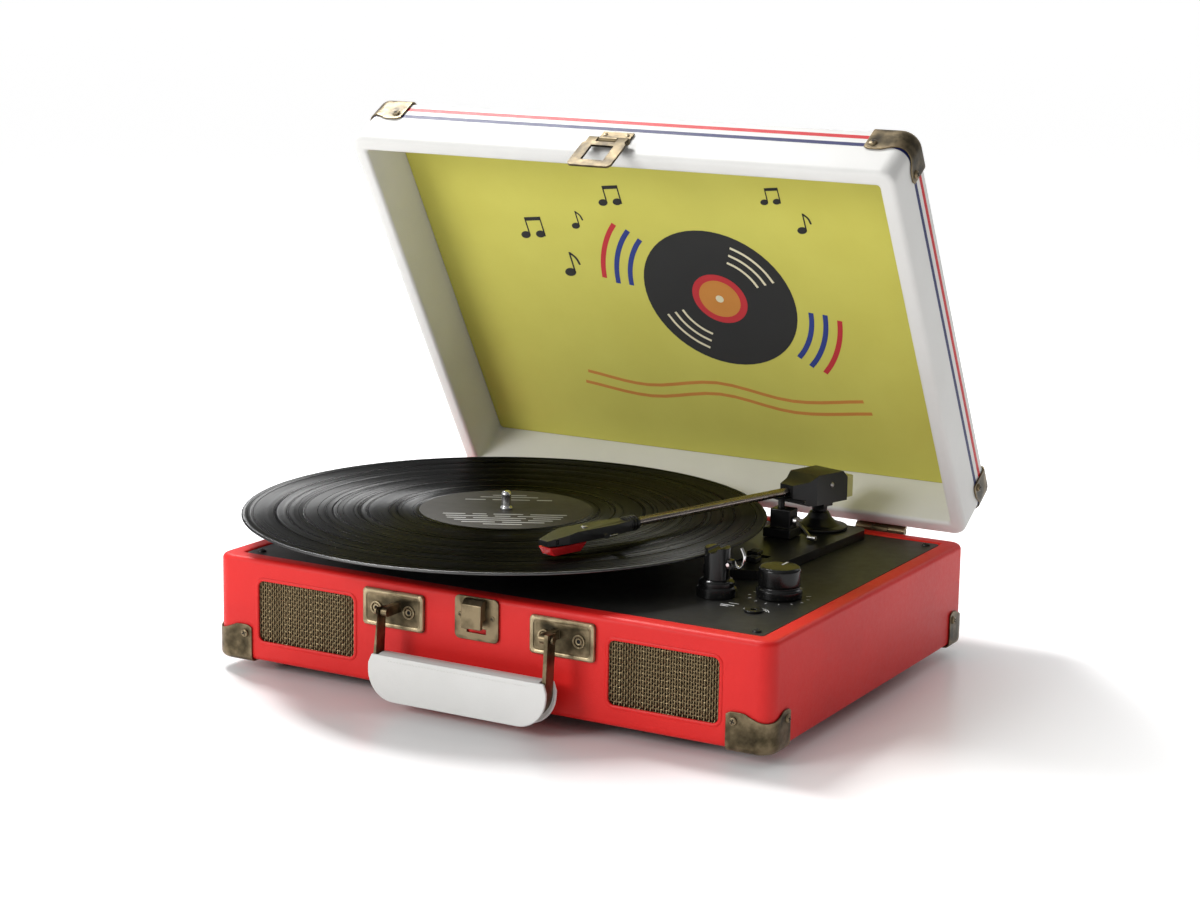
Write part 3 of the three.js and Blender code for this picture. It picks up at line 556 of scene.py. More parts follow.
def screw_slot(r, high):
    """The cross slot on a screw head, drawn as a dark raised cross: painted shade for the slot's
    recess.
    """
    bars = []
    for turn in (0.4, 0.4 + math.pi / 2):
        bar = rect_loft(r * 1.15, r * 0.26, 0.1, [(0, high * 0.6), (0, high + 0.03)],
                        least_r=0.05, steps=2)
        bars.append(moved(bar, turned_about("Z", turn)))
    return merged(bars)


def screws(name, places, at, body, material, r, high):
    # Each head gets a dark slot cross on top, painted shade for the recess.
    for kind, shape, paint in (("heads", screw_head, material), ("slots", screw_slot, SLOT_PAINTED_SHADE)):
        whole = merged([moved(shape(r, high), spot) for spot in places])
        finish_piece(f"{name}_{kind}", whole, at, body, paint)


def cut_through(piece, cutter_bm, name, at):
    """Cuts a shape out of a piece for good."""
    cutter_bm.transform(at)
    bmesh.ops.recalc_face_normals(cutter_bm, faces=cutter_bm.faces)
    mesh = bpy.data.meshes.new(name)
    cutter_bm.to_mesh(mesh)
    cutter_bm.free()
    cutter = bpy.data.objects.new(name, mesh)
    bpy.context.scene.collection.objects.link(cutter)
    modifier = piece.modifiers.new("cut", "BOOLEAN")
    modifier.operation = "DIFFERENCE"
    modifier.solver = "EXACT"
    modifier.object = cutter
    bpy.context.view_layer.update()
    seen = piece.evaluated_get(bpy.context.evaluated_depsgraph_get())
    shaped = bpy.data.meshes.new_from_object(seen)
    piece.modifiers.clear()
    piece.data = shaped
    bpy.data.objects.remove(cutter)
    shaped.shade_smooth()
    shaped.set_sharp_from_angle(angle=math.radians(35))


# ------------------------------------------------------------------ lower case
GRILLE_X, _, GRILLE_Z = in_case("speaker_grille_right")
GRILLE_W, _, GRILLE_H = size_mm("speaker_grille_right")


def grille_place(side, depth):
    """The frame of a grille, with its z = 0 this far behind the case's front."""
    return CASE @ shift(side * GRILLE_X, FRONT + depth, GRILLE_Z) @ FACE_FRONT


def case_cover():
    edge, inner_edge = 3.2, 1.8
    profile = (arc(edge, FOOT_H + edge, edge, 270, 180) + arc(edge, RIM_Z - edge, edge, 180, 90)
               + arc(RIM_W - inner_edge, RIM_Z - inner_edge, inner_edge, 90, 0)
               + [(RIM_W, FOOT_H)])
    bm = rect_loft(CASE_W, CASE_D, CASE_R, profile, closed=True)
    cover = finish_piece("case_cover", bm, CASE, "case", RED, ["base_case"])
    reach = 20
    for _, side in SIDES:
        hole = slab(rounded_rect(GRILLE_W + 1, GRILLE_H + 1, 4.5), -reach, reach)
        cut_through(cover, hole, "grille_hole", grille_place(side, 0))
    panel_hole_h, panel_hole_z = 28, FOOT_H + 26
    back = slab(rounded_rect(size_mm("rear_panel")[0] + 0.6, panel_hole_h, 1.5), -reach, reach)
    at = CASE @ shift(0, CASE_D / 2, panel_hole_z) @ FACE_FRONT
    cut_through(cover, back, "panel_hole", at)
    turns = [2 * math.pi * i / 10 for i in range(10)]
    rolled_edge = [(1.2 + 1.15 * math.cos(a), math.sin(a)) for a in turns]
    for tag, side in SIDES:
        lip = rect_loft(GRILLE_W + 3.4, GRILLE_H + 3.4, 5.7, rolled_edge, closed=True)
        finish_piece(f"grille_lip_{tag}", lip, grille_place(side, 0.35), "case", RED)


def woven_grille(tag, side):
    """Wire cloth: thick upright wires, with thin level wires woven through them."""
    pitch_x, pitch_y = 1.55, 1.9
    wire_r, upright_r = 0.36, 0.54
    weave_depth, sideways = 0.3, 0.22
    corner = 3
    half_w, half_h = GRILLE_W / 2 - 0.2, GRILLE_H / 2 - 0.2
    columns = int(2 * half_w / pitch_x)
    rows = int(2 * half_h / pitch_y)
    wires = []
    for i in range(columns + 1):
        x = -half_w + 2 * half_w * i / columns
        phase = math.pi * (i % 2)
        limit = half_h - max(0, abs(x) - half_w + corner) * 0.6
        steps = rows * 3
        path = [(x, -limit + 2 * limit * k / steps,
                 weave_depth * math.cos(math.pi * rows * (k / steps) + phase))
                for k in range(steps + 1)]
        wires.append(tube(path, upright_r, 5))
    for j in range(rows + 1):
        y = -half_h + 2 * half_h * j / rows
        phase = math.pi * (j % 2)
        limit = half_w - max(0, abs(y) - half_h + corner) * 0.6
        steps = columns * 2
        path = [(-limit + 2 * limit * k / steps,
                 y + sideways * math.sin(math.pi * columns * k / steps),
                 -weave_depth * math.cos(math.pi * columns * (k / steps) + phase))
                for k in range(steps + 1)]
        wires.append(tube(path, wire_r, 4))
    at = grille_place(side, 1.9)
    finish_piece(f"grille_cloth_{tag}", merged(wires), at, "case", MESH_BRASS,
                 [f"speaker_grille_{tag}"], 80)
    backing = slab(rounded_rect(GRILLE_W, GRILLE_H, 4), -1.6, -1.0)
    finish_piece(f"grille_backing_{tag}", backing, at, "case", RUBBER)


CAP_T = 0.9
CAP_SKIN = CAP_T + 0.3      # from the case's wall to a cap's outer face


def corner_surface(height, reach_x, reach_y):
    """One corner cap's outer skin. The corner is at the origin, the walls run to -x and -y."""
    skin = CAP_SKIN
    along = [(-reach_x + (reach_x - CASE_R) * i / 6, skin) for i in range(6)]
    along += [(x - CASE_R, y - CASE_R) for x, y in arc(0, 0, CASE_R + skin, 90, 0, 8)]
    along += [(skin, -CASE_R - (reach_y - CASE_R) * i / 6) for i in range(1, 7)]
    count = len(along) - 1
    round_r = 3.4
    rows = []
    for k, (x, y) in enumerate(along):
        off = abs(k - count / 2) / (count / 2)
        dip = 4.2 * max(0.0, 1 - (off / 0.62) ** 2)
        ear = 1.6 * max(0.0, (off - 0.86) / 0.14) ** 2
        top = height - dip - ear
        inward = Vector((-1 if x > -CASE_R else 0, -1 if y > -CASE_R else 0))
        if x > -CASE_R and y > -CASE_R:
            inward = -(Vector((x + CASE_R, y + CASE_R))).normalized()
        row = [(0.0, top + (round_r - top) * i / 6) for i in range(7)]
        row += [(round_r - round_r * math.cos(a), round_r - round_r * math.sin(a))
                for a in (math.pi / 8 * i for i in range(1, 5))]
        row += [(round_r + 2.5, 0.0), (round_r + 5, 0.0)]
        rows.append([(x + inward.x * depth, y + inward.y * depth, z) for depth, z in row])
    bm = bmesh.new()
    grid = [[bm.verts.new(point) for point in row] for row in rows]
    for a, b in zip(grid, grid[1:]):
        for i in range(len(a) - 1):
            bm.faces.new((a[i], a[i + 1], b[i + 1], b[i]))
    return bm


def corner_caps():
    """Pressed brass caps on the case's four lower corners and the lid's four outer ones."""
    skin = CAP_SKIN
    base_cap_h, lid_cap_h = 20.5, 19
    sets = (("base", CASE, 0, FOOT_H - skin, 1, "case", base_cap_h + skin),
            ("lid", LID, LID_MID, LID_H + skin, -1, "lid", lid_cap_h + skin))
    for kind, at, mid_y, face_z, up, body, height in sets:
        for tag, sx, sy in (("fl", -1, -1), ("fr", 1, -1), ("bl", -1, 1), ("br", 1, 1)):
            flip = Matrix.Diagonal((sx, sy, up, 1))
            corner = shift(sx * CASE_W / 2, mid_y + sy * CASE_D / 2, face_z) @ flip
            node = f"{kind}_corner_{tag}"
            cap = finish_piece(f"{node}_cap", corner_surface(height, 25, 22), at @ corner, body,
                               BRASS, [node], 60)
            shell = cap.modifiers.new("sheet", "SOLIDIFY")
            shell.thickness = CAP_T * MM
            shell.offset = -1
            bevelled(cap, 0.35, 2, 50)
            z = height - 5
            heads = [corner @ shift(-20.5, skin, z) @ turned_about("X", -math.pi / 2),
                     corner @ shift(skin, -18, z) @ turned_about("Y", math.pi / 2)]
            screws(f"{node}_screw", heads, at, body, BRASS, 2.4, 1.2)


def capped(profile, low, high, r):
    """A softened profile with a point on the axis at each end."""
    return [(0, low)] + softened(profile, r) + [(0, high)]


def feet():
    for tag in ("fl", "fr", "bl", "br"):
        node = f"foot_{tag}"
        h = size_mm(node)[2]
        profile = capped([(1, 0), (8, 0), (9.6, 1.6), (10, h), (1, h)], 0, h, 0.8)
        finish_piece(f"{node}_moulded", lathe(profile, 40), under(node), "case", RUBBER,
                     [node])


INK_T = 0.05        # how thick printed ink is


def deck():
    refined("deck_plate", DECK, 0.3, 2)
    places = [shift(sx * 157, sy * 112.5, DECK_Z) for sx in (-1, 1) for sy in (-1, 1)]
    screws("deck_screw", places, CASE, "case", PLASTIC, 2.6, 1.3)
    x, y, _ = in_case("volume_knob")
    print_z = DECK_Z + 0.04
    marks = []
    for i in range(11):
        tick = slab(rounded_rect(1.8 if i % 5 else 2.8, 0.5, 0.2, 2), 0, INK_T)
        turn = turned_about("Z", math.radians(-215 + 25 * i))
        marks.append(moved(tick, shift(x, y, print_z) @ turn @ shift(16.2, 0, 0)))
    x, y, _ = in_case("headphone_jack")
    for radius, start, end in ((8.2, 20, 160), (7.0, 30, 150)):
        outline = arc(0, 0, radius, start, end, 12) + arc(0, 0, radius - 0.5, end, start, 12)
        marks.append(moved(slab(outline, 0, INK_T), shift(x, y, print_z)))
    for dx, dy, wide in ((-18, 5, 8), (-18.8, 2.6, 5), (-16.5, 9.5, 6)):
        bar = slab(rounded_rect(wide, 0.8, 0.3, 2), 0, INK_T)
        marks.append(moved(bar, shift(x + dx, y + dy, print_z)))
    finish_piece("deck_print", merged(marks), CASE, "case", PRINT_WHITE)
    refined("headphone_jack", PLASTIC, 0.3)


def rear_panel():
    refined("rear_panel", PLASTIC, 0.25, 2)
    face = CASE_D / 2 - 1
    z = middle("rear_panel").z / MM
    ring = softened([(4.35, 0), (5.6, 0), (5.6, 1.6), (4.35, 1.6)], 0.3) + [(4.35, 0.8)]
    barrel = softened([(2.6, 3), (3.9, 3), (3.9, 8.05), (2.6, 8.05)], 0.25) + [(2.6, 5)]
    for tag, x, material in (("left", -28, PRINT_WHITE), ("right", -10, STYLUS)):
        at = CASE @ shift(x, face, z) @ FACE_BACK
        finish_piece(f"socket_ring_{tag}", lathe(ring, 32), at, "case", material)
        finish_piece(f"socket_barrel_{tag}", lathe(barrel, 32), at, "case", CHROME)
    places = [shift(x, face, z + dz) @ FACE_BACK for x in (-38.5, 38.5) for dz in (-10.5, 10.5)]
    screws("panel_screw", places, CASE, "case", STEEL, 1.5, 0.7)


def lower_case():
    case_cover()
    repainted("base_floor", BOARD)
    corner_caps()
    feet()
    deck()
    rear_panel()
    for tag, side in SIDES:
        woven_grille(tag, side)
        repainted(f"speaker_driver_{tag}", RUBBER)


# ------------------------------------------------------------------ front fittings and handle
def eyelet():
    r = 3.7
    profile = [(1.2, -0.5), (r, -0.5), (r, 0.9), (r - 0.9, 0.9), (r - 1.3, 0.1), (2.1, 0.1),
               (1.8, 0.8), (1.2, 0.6)]
    return lathe(softened(profile, 0.25), 32)


def front_fittings():
    plate_w, plate_h, plate_face = 39.5, 21, FRONT - 2.1
    rolled_edge = [(0.15, 1.4), (2.6, 1.4), (2.5, 2.3), (1.9, 2.7), (0.9, 2.7), (0.25, 2.2)]
    bore = [(0, -0.4), (1.3, -0.4), (1.3, 0.06), (0, 0.06)]
    for tag, _ in SIDES:
        node = f"handle_plate_{tag}"
        refined(node, BRASS, 0.35)
        x, _, z = in_case(node)
        rivets = [shift(x + dx, plate_face, z) @ FACE_FRONT for dx in (-10.6, 10.6)]
        bright = [moved(eyelet(), spot) for spot in rivets]
        border = rect_loft(plate_w, plate_h, 2, rolled_edge, closed=True)
        bright.append(moved(border, shift(x, FRONT, z) @ FACE_FRONT))
        finish_piece(f"plate_eyelets_{tag}", merged(bright), CASE, "case", WORN_BRASS)
        # The rivet bores are dark plugs: painted shade in the eyelet holes.
        bores = merged([moved(lathe(bore, 20), spot) for spot in rivets])
        finish_piece(f"plate_rivet_bore_shade_{tag}", bores, CASE, "case", SLOT_PAINTED_SHADE)
    refined("latch_plate", BRASS, 0.3)
    refined("latch_hook", BRASS, 0.5)
    z = z_span("latch_plate")[1] - 10.5
    places = [shift(dx, FRONT - 1.5, z) @ FACE_FRONT for dx in (-10.2, 10.2)]
    screws("latch_screw", places, CASE, "case", BRASS, 1.4, 0.6)


def handle():
    refined("handle_strap", BRASS, 0.45)
    refined("handle_grip", WHITE, 0.75, 4)
    stitches, stitch_pitch, stitch_half = 44, 2.0, 0.6
    seam_y, seam_z = 6.05, -25.2
    thread = []
    for side in (-1, 1):
        for i in range(stitches):
            x = -43 + stitch_pitch * i
            stitch = [(x - stitch_half, side * seam_y, seam_z), (x, side * (seam_y + 0.15), seam_z),
                      (x + stitch_half, side * seam_y, seam_z)]
            thread.append(tube(stitch, 0.16, 5))
    finish_piece("grip_stitches", merged(thread), HANDLE, "handle", WHITE)
    fold_half, fold_low, fold_high, fold_end = 5.95, -24.6, 2.9, 50.6
    turns = [math.radians(a) for a in range(0, 181, 15)]
    fold = [(fold_half * math.cos(a), fold_low + fold_high * math.sin(a)) for a in turns]
    fold += [(-4.6, -26), (4.6, -26)]
    top = loft([[(x, y, z) for y, z in fold] for x in (-fold_end, fold_end)])
    top = finish_piece("grip_top_fold", top, HANDLE, "handle", WHITE)
    bevelled(top, 0.5)


# ------------------------------------------------------------------ lid
STRIPE_HALF = 1.5


def lid_band(name, z, material):
    """A stripe that runs round the lid's side walls."""
    low, high = z - STRIPE_HALF, z + STRIPE_HALF
    profile = [(-0.08, low), (-0.12, z), (-0.08, high), (0.25, high), (0.25, low)]
    bm = rect_loft(CASE_W, CASE_D, CASE_R, profile, closed=True, centre_y=LID_MID)
    finish_piece(name, bm, LID, "lid", material)


def lid_shell():
    r, inner_r = 3.4, 2.4
    profile = [(LID_WALL, LID_INNER), (LID_WALL, LID_INNER - 0.4)]
    profile += arc(LID_WALL - inner_r, inner_r, inner_r, 0, -90)
    profile += arc(r, r, r, 270, 180) + arc(r, LID_H - r, r, 180, 90)
    bm = rect_loft(CASE_W, CASE_D, CASE_R, profile, centre_y=LID_MID)
    finish_piece("lid_cover", bm, LID, "lid", WHITE, ["lid_shell"], 50)
    lid_band("stripe_red_band", 31.2, STRIPE_RED)
    lid_band("stripe_navy_band", 24.2, STRIPE_NAVY)
    inset = LID_WALL + 0.3
    top = LID_INNER - 0.3
    profile = [(inset, top), (inset, top - 0.8), (inset + 0.2, top - 1.0)]
    liner = rect_loft(CASE_W, CASE_D, CASE_R, profile, centre_y=LID_MID)
    finish_piece("liner_panel", liner, LID, "lid", LINER, ["lid_liner"])


LINER_FACE = LID_INNER - 1.3


def printed(name, outlines, layer, material):
    """Ink on the liner. An outline's points are (x, height above the hinge)."""
    face = LINER_FACE - 0.06 * layer
    flats = [slab([(x, -q) for x, q in outline], face, face - INK_T) for outline in outlines]
    finish_piece(name, merged(flats), LID, "lid", material)


def disc(cx, cq, rx, rq=None, lean=0.0, steps=56):
    """The outline of a round or oval spot, leaning by an angle."""
    rq = rq or rx
    points = []
    for i in range(steps):
        a = 2 * math.pi * i / steps
        x, q = rx * math.cos(a), rq * math.sin(a)
        points.append((cx + x * math.cos(lean) - q * math.sin(lean),
                       cq + x * math.sin(lean) + q * math.cos(lean)))
    return points


def ribbon(points, width):
    """A printed line of even width through a smooth run of points."""
    run = [Vector((p[0], p[1])) for p in smooth_run([(x, q, 0) for x, q in points], 5)]
    left, right = [], []
    for i, here in enumerate(run):
        along = (run[min(i + 1, len(run) - 1)] - run[max(i - 1, 0)]).normalized()
        side = Vector((-along.y, along.x)) * width / 2
        left.append(tuple(here + side))
        right.append(tuple(here - side))
    return left + right[::-1]


def note(x, q, size, pair):
    """A music note: a leaning oval head, a stem and a flag, or two heads under one beam."""
    top = q + 11 * size
    near, far = x + 2 * size, x + 2.8 * size
    parts = [disc(x, q, 3 * size, 2.1 * size, 0.4, 24),
             [(near, q), (far, q), (far, top), (near, top)]]
    if pair:
        gap, rise = 9 * size, 1.2 * size
        parts += [disc(x + gap, q + rise, 3 * size, 2.1 * size, 0.4, 24),
                  [(near + gap, q), (far + gap, q), (far + gap, top + rise),
                   (near + gap, top + rise)],
                  [(near, top - 2.2 * size), (far + gap, top - size), (far + gap, top + rise),
                   (near, top)]]
    else:
        flag = [(x + 2.5 * size, top - 0.5), (x + 5 * size, top - 3 * size),
                (x + 6 * size, top - 6.5 * size)]
        parts.append(ribbon(flag, 1.1 * size))
    return parts


def liner_print():
    """A plain picture of a spinning record, with notes and sound waves round it."""
    cx, cq = 28, 140
    printed("print_disc_edge", [disc(cx, cq, 50)], 1, INK_BLACK)
    shine = [ribbon(arc(cx, cq, r, a, a + 46, 4), 1.6) for r in (42, 36, 30) for a in (22, 202)]
    printed("print_disc_shine", shine, 2, INK_CREAM)
    printed("print_label", [disc(cx, cq, 18)], 2, INK_RED)
    printed("print_label_ring", [disc(cx, cq, 13.5)], 3, INK_ORANGE)
    printed("print_label_hole", [disc(cx, cq, 2.6)], 4, INK_CREAM)
    waves = [ribbon(arc(cx, cq, r, a, a + 38, 6), 3.2) for r in (59, 68) for a in (-42, 138)]
    printed("print_waves_blue", waves, 1, INK_BLUE)
    outer = [ribbon(arc(cx, cq, 77, a, a + 34, 6), 3.2) for a in (-40, 140)]
    printed("print_waves_red", outer, 1, INK_RED)
    marks = []
    for x, q, size, pair in ((-72, 150, 1.4, False), (-96, 176, 1.2, True), (-58, 186, 1.0, False),
                             (-34, 205, 1.1, True), (94, 196, 1.1, False), (74, 214, 0.9, True)):
        marks += note(x, q, size, pair)
    printed("print_notes", marks, 1, INK_BLACK)
    lines = []
    for i in range(2):
        q = 9 * i
        line = [(-86 + 4 * i, 62 + q), (-40, 56 + q), (10, 64 + q), (60, 56 + q),
                (112 - 4 * i, 62 + q)]
        lines.append(ribbon(line, 2.4))
    printed("print_staff", lines, 1, INK_ORANGE)


def lid():
    lid_shell()
    liner_print()
    refined("hasp_bracket", DARK_BRASS, 0.3)
    refined("hasp_loop", DARK_BRASS, 0.4)
    places = [shift(dx, LID_MID + FRONT - 1.3, 17) @ FACE_FRONT for dx in (-7, 7)]
    screws("hasp_screw", places, LID, "lid", BRASS, 1.3, 0.5)
    back = CASE_D / 2 + 1.3
    for tag, _ in SIDES:
        refined(f"hinge_lid_leaf_{tag}", BRASS, 0.25, 2)
        refined(f"hinge_base_leaf_{tag}", BRASS, 0.25, 2)
        x = in_case(f"hinge_base_leaf_{tag}")[0]
        for name, at, body, y, z in (("hinge_screw", CASE, "case", back, RIM_Z - 7.5),
                                     ("hinge_lid_screw", LID, "lid", LID_MID + back, 8)):
            places = [shift(x + dx, y, z) @ FACE_BACK for dx in (-11, 11)]
            screws(f"{name}_{tag}", places, at, body, BRASS, 1.6, 0.6)


# ------------------------------------------------------------------ turntable
BORE_R = 3.9        # the hole round the spindle


def turntable():
    low, high = z_span("platter")
    rim = size_mm("platter")[0] / 2
    web = high - 2.5        # the underside of the platter's disc
    profile = softened([(BORE_R, low), (8, low), (8, high - 5), (25, high - 5), (25, web),
                        (57, web), (57, low + 1), (60, low + 1), (60, web), (rim - 4, web),
                        (rim - 4, low), (rim, low), (rim, high), (BORE_R, high)], 0.7)
    finish_piece("platter_turned", lathe(profile, 128), SPINDLE_AT, "platter", ALUMINIUM,
                 ["platter"])
    low, high = z_span("platter_mat")
    edge = size_mm("platter_mat")[0] / 2
    profile = softened([(BORE_R, low), (edge, low), (edge, high), (BORE_R, high)], 0.5)
    finish_piece("platter_mat_ribbed", lathe(profile, 96), SPINDLE_AT, "platter", RUBBER,
                 ["platter_mat"])
    record()
    low, high = z_span("spindle")
    profile = capped([(1, low), (3.6, low), (3.6, high - 10), (2.8, high - 9), (2.8, high - 2),
                      (2, high - 0.5), (0.5, high)], low, high, 0.5)
    finish_piece("spindle_pin", lathe(profile, 40), SPINDLE_AT, "platter", CHROME,
                 ["spindle"])
    for node, material in (("motor", STEEL), ("motor_pulley", BRASS), ("drive_belt", RUBBER)):
        refined(node, material, 0.2, 2)


def record():
    low, top = z_span("record")
    edge = size_mm("record")[0] / 2
    profile = [(BORE_R, low + 0.1), (54, low + 0.1), (56, low + 0.35), (edge - 4, low + 0.35),
               (edge - 2.2, low + 0.1)]
    profile += arc(edge - 0.85, (low + top) / 2, 0.85, -80, 80, 6)
    profile += [(edge - 2.6, top - 0.05), (edge - 4.2, top - 0.3)]
    tracks = (edge - 4.6, 131, 116.5, 99, 83, 66)
    for outer, inner in zip(tracks, tracks[1:]):
        profile += [(outer - 0.5, top - 0.24), (outer - 1.0, top - 0.2), (inner + 1.0, top - 0.2),
                    (inner + 0.5, top - 0.24), (inner + 0.2, top - 0.32)]
    profile += [(58, top - 0.32), (54, top - 0.3), (52.5, top - 0.12), (51, top - 0.1),
                (50.6, top - 0.16), (BORE_R, top - 0.16)]
    finish_piece("record_pressed", lathe(profile, 160), SPINDLE_AT, "platter", VINYL,
                 ["record"], 60)
    label_r, z = 50, top - 0.12
    profile = [(BORE_R, z - 0.1), (label_r, z - 0.1), (label_r, z + 0.02), (BORE_R, z + 0.02)]
    finish_piece("record_label", lathe(softened(profile, 0.04, 2), 96), SPINDLE_AT, "platter",
                 LABEL)
    ink = []
    gap = 4
    for y, widths in ((36, (20,)), (31, (34,)), (24, (12, 22, 9)), (-14, (13, 8, 17, 21)),
                      (-19, (24, 9, 26)), (-24, (11, 30, 16)), (-29, (38, 14)), (-34, (19, 24)),
                      (-39, (22,))):
        x = -(sum(widths) + gap * (len(widths) - 1)) / 2
        for wide in widths:
            bar = slab(rounded_rect(wide, 1.5, 0.4, 2), z + 0.02, z + 0.05)
            ink.append(moved(bar, turned_about("Z", 0.5) @ shift(x + wide / 2, y, 0)))
            x += wide + gap
    finish_piece("label_print", merged(ink), SPINDLE_AT, "platter", LABEL_INK)


# ------------------------------------------------------------------ tonearm and controls
def tonearm():
    refined("tonearm_plate", PLASTIC, 1.1, 4)
    low, high = z_span("tonearm_turret")
    turret = [(3, low), (17, low), (17, low + 1.5), (12.6, low + 1.9), (11.4, low + 2.6),
              (7.4, low + 6.4), (5.6, high), (3, high)]
    finish_piece("turret_moulded", lathe(softened(turret, 0.5), 64), under("tonearm_turret"),
                 "case", PLASTIC, ["tonearm_turret"])
    refined("arm_yoke", PLASTIC, 0.3, 2)
    refined("arm_housing", PLASTIC, 1.0, 4)
    refined("arm_weight", BRIGHT_WEIGHT, 0.6)
    caps = []
    for side in (-1, 1):
        spot = shift(side * 11, -2, 2) @ turned_about("Y", side * math.pi / 2)
        caps.append(moved(screw_head(1.5, 0.5), spot))
    finish_piece("housing_pivot_caps", merged(caps), ARM, "arm", STEEL)
    tube_r, tube_bore = 2.5, 1.8
    tube_start, collar_start = 18.3, 156        # distances along the arm from its pivot
    profile = softened([(tube_bore, tube_start), (tube_r, tube_start), (tube_r, collar_start),
                        (tube_bore, collar_start)], 0.2)
    finish_piece("arm_tube_drawn", moved(lathe(profile, 40), FACE_FRONT), ARM, "arm", DARK_CHROME,
                 ["arm_tube"])
    refined("headshell", PLASTIC, 0.9, 4)
    ribs = []
    for i in range(4):
        s = collar_start - 0.8 + 2.1 * i
        ring = softened([(3.9, s), (4.45, s), (4.45, s + 1.2), (3.9, s + 1.2)], 0.3)
        ribs.append(moved(lathe(ring, 36), FACE_FRONT))
    finish_piece("headshell_collar_ribs", merged(ribs), ARM, "arm", PLASTIC)
    screws("headshell_screw", [shift(0, -193, 3.25)], ARM, "arm", STEEL, 1.9, 0.8)
    refined("cartridge", PLASTIC, 0.3, 2)
    refined("stylus", STYLUS, 0.6)
    needle = tube([(0, -212, -8.1), (0, -212.4, -8.6), (0, -212.5, -9.0)], 0.25, 8)
    finish_piece("stylus_needle", needle, ARM, "arm", STEEL)
    path = smooth_run([(6.6, -184, -0.8), (9.3, -184.5, -1.4), (13.3, -186, -1.0),
                       (16.8, -187.5, 0.4), (18.8, -188.5, 1.6)])
    half_t = 0.3
    tab = []
    for i, here in enumerate(path):
        wide = 1.4 + 1.6 * min(1, i / 8)
        tab.append([(here.x, here.y + dy, here.z + dz) for dy, dz in
                    ((-wide, -half_t), (wide, -half_t), (wide, half_t), (-wide, half_t))])
    lift = finish_piece("finger_lift_pressed", loft(tab), ARM, "arm", CHROME,
                        ["finger_lift"])
    bevelled(lift, 0.2, 2)


def cue_lift():
    refined("cue_block", PLASTIC, 0.8)
    refined("cue_bar", PLASTIC, 0.4)
    refined("cue_lever", STEEL, 0.25, 2)


def arm_rest():
    refined("arm_rest", GLOSS, 0.7)
    at = place(JOINTS["arm_clip_turn"]["pos_m"])
    bow = [(0, 0), (2, -2.2), (4.4, -2.2), (6, 0.4), (6.2, 4.5), (4.4, 8.5)]
    wire = tube(smooth_run([(x, 4, z) for x, z in bow]), 0.95, 12)
    pin = moved(lathe([(0, -4.6), (1.0, -4.6), (1.0, 3.4), (0, 3.4)], 24), FACE_FRONT)
    finish_piece("arm_clip_wire", merged([wire, pin]), at, "arm_clip", CHROME,
                 ["arm_clip"])


def knobs():
    low, high = z_span("volume_knob")
    foot = DECK_Z + 0.3
    profile = capped([(1, low), (3.2, low), (3.2, foot), (12.6, foot), (12.6, foot + 4.6),
                      (11.6, foot + 5.4), (11.2, foot + 6.2), (11.5, foot + 7.2),
                      (11.5, high - 1.4), (10.4, high), (1, high)], low, high, 0.7)
    at = under("volume_knob")
    finish_piece("volume_knob_turned", lathe(profile, 72), at, "volume_knob", GLOSS,
                 ["volume_knob"])
    pointer = moved(slab(rounded_rect(1.1, 7, 0.5, 3), high - 0.02, high + 0.08), shift(0, 6.2, 0))
    finish_piece("volume_pointer", pointer, at, "volume_knob", PRINT_WHITE)
    for node in ("speed_switch", "autostop_switch"):
        refined(node, GLOSS, 0.5)


# ------------------------------------------------------------------ floor, light and camera
def backdrop():
    """White paper with painted light: it glows brighter away from the object, up to pure white, and
    near the object it only reflects.
    """
    material = shader("floor_white_painted_glow", grey(0.9), 0.3)
    tree = Tree(material)
    away = tree.nodes.new("ShaderNodeVectorMath")
    away.operation = "LENGTH"
    tree.link(tree.where, away.inputs[0])
    # Painted light: the floor's emission grows from nothing near the object to full glow far from
    # it.
    near_m, far_m, full_glow = 0.17, 0.42, 0.55
    glow = tree.nodes.new("ShaderNodeMapRange")
    glow.inputs["From Min"].default_value = near_m
    glow.inputs["From Max"].default_value = far_m
    glow.inputs["To Max"].default_value = full_glow
    tree.link(away.outputs["Value"], glow.inputs["Value"])
    tree.bsdf.inputs["Emission Color"].default_value = (1, 1, 1, 1)
    tree.link(glow.outputs["Result"], tree.bsdf.inputs["Emission Strength"])
    return material


FLOOR_HALF_M = 45       # so far out that no view shows where the floor ends


def stage():
    mesh = bpy.data.meshes.new("floor")
    bm = bmesh.new()
    bmesh.ops.create_grid(bm, x_segments=2, y_segments=2, size=FLOOR_HALF_M)
    bm.to_mesh(mesh)
    bm.free()
    floor = bpy.data.objects.new("floor", mesh)
    bpy.context.scene.collection.objects.link(floor)
    mesh.materials.append(backdrop())


def area_light(name, at, target, size, power):
    light = bpy.data.lights.new(name, "AREA")
    light.shape = "RECTANGLE"
    light.size, light.size_y = size
    light.energy = power
    lamp = bpy.data.objects.new(name, light)
    lamp.location = at
    lamp.rotation_euler = (Vector(target) - Vector(at)).to_track_quat("-Z", "Y").to_euler()
    bpy.context.scene.collection.objects.link(lamp)


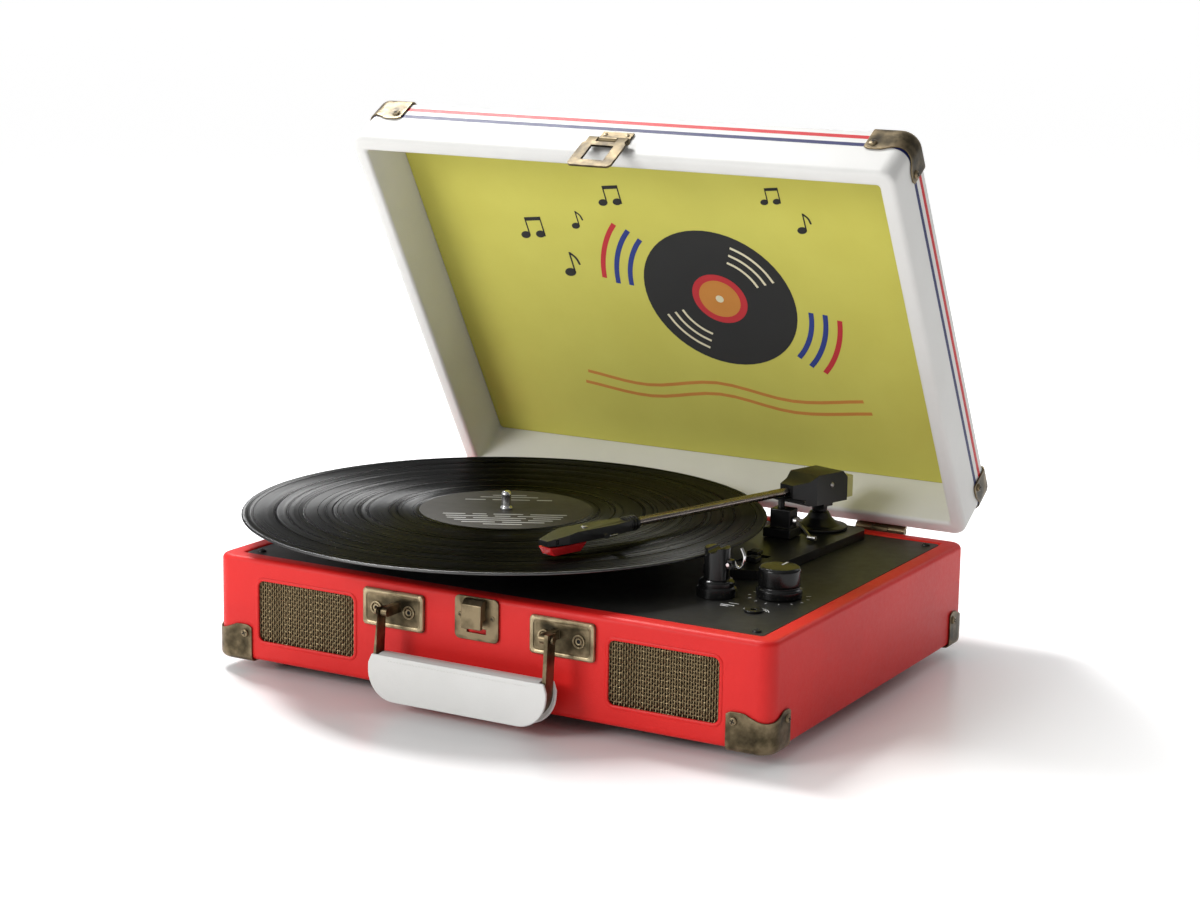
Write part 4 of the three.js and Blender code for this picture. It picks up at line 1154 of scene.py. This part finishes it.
def lights():
    """A room that is brighter on the left, a key light, a strip above and a light from behind."""
    world = bpy.data.worlds.new("studio")
    world.use_nodes = True
    nodes, links = world.node_tree.nodes, world.node_tree.links
    split = nodes.new("ShaderNodeSeparateXYZ")
    links.new(nodes.new("ShaderNodeTexCoord").outputs["Generated"], split.inputs[0])
    side = nodes.new("ShaderNodeValToRGB")
    for element, (position, level) in zip(side.color_ramp.elements, ((0.0, 1.0), (0.6, 0.32))):
        element.position = position
        element.color = (*grey(level), 1)
    links.new(split.outputs["X"], side.inputs["Fac"])
    links.new(side.outputs["Color"], nodes["Background"].inputs["Color"])
    nodes["Background"].inputs["Strength"].default_value = 0.55
    bpy.context.scene.world = world
    for name, at, target, size, power in (
            ("key", (-0.9, -1.7, 0.9), (0.05, 0.1, 0.14), (0.8, 0.6), 18),
            ("strip", (-0.8, 0.3, 1.4), (-0.04, 0, 0.09), (0.25, 0.6), 24),
            ("back", (0.3, 1.6, 1.1), (0, 0, 0.12), (1.6, 0.6), 4)):
        area_light(name, at, target, size, power)


def camera():
    """The photograph's viewing angle: from the front right, a little above."""
    yaw, pitch, roll = (math.radians(angle) for angle in (27.55, 11.35, 1.39))
    place_m = (CASE_X * MM + 0.69159, -1.21361, 0.40672)
    ahead = Vector((-math.sin(yaw) * math.cos(pitch), math.cos(yaw) * math.cos(pitch),
                    -math.sin(pitch)))
    right = Vector((math.cos(yaw), math.sin(yaw), 0))
    up = right.cross(ahead)
    across = math.cos(roll) * right + math.sin(roll) * up
    upward = -math.sin(roll) * right + math.cos(roll) * up
    data = bpy.data.cameras.new("camera")
    data.lens = 74.49
    data.sensor_width = 36
    data.shift_x = -0.07375
    data.clip_start = 0.05
    view = bpy.data.objects.new("camera", data)
    view.matrix_world = Matrix((
        (across.x, upward.x, -ahead.x, place_m[0]),
        (across.y, upward.y, -ahead.y, place_m[1]),
        (across.z, upward.z, -ahead.z, place_m[2]),
        (0, 0, 0, 1)))
    bpy.context.scene.collection.objects.link(view)
    bpy.context.scene.camera = view


lower_case()
front_fittings()
handle()
lid()
turntable()
tonearm()
cue_lift()
arm_rest()
knobs()
stage()
lights()
camera()
bpy.context.scene.view_settings.view_transform = "Standard"
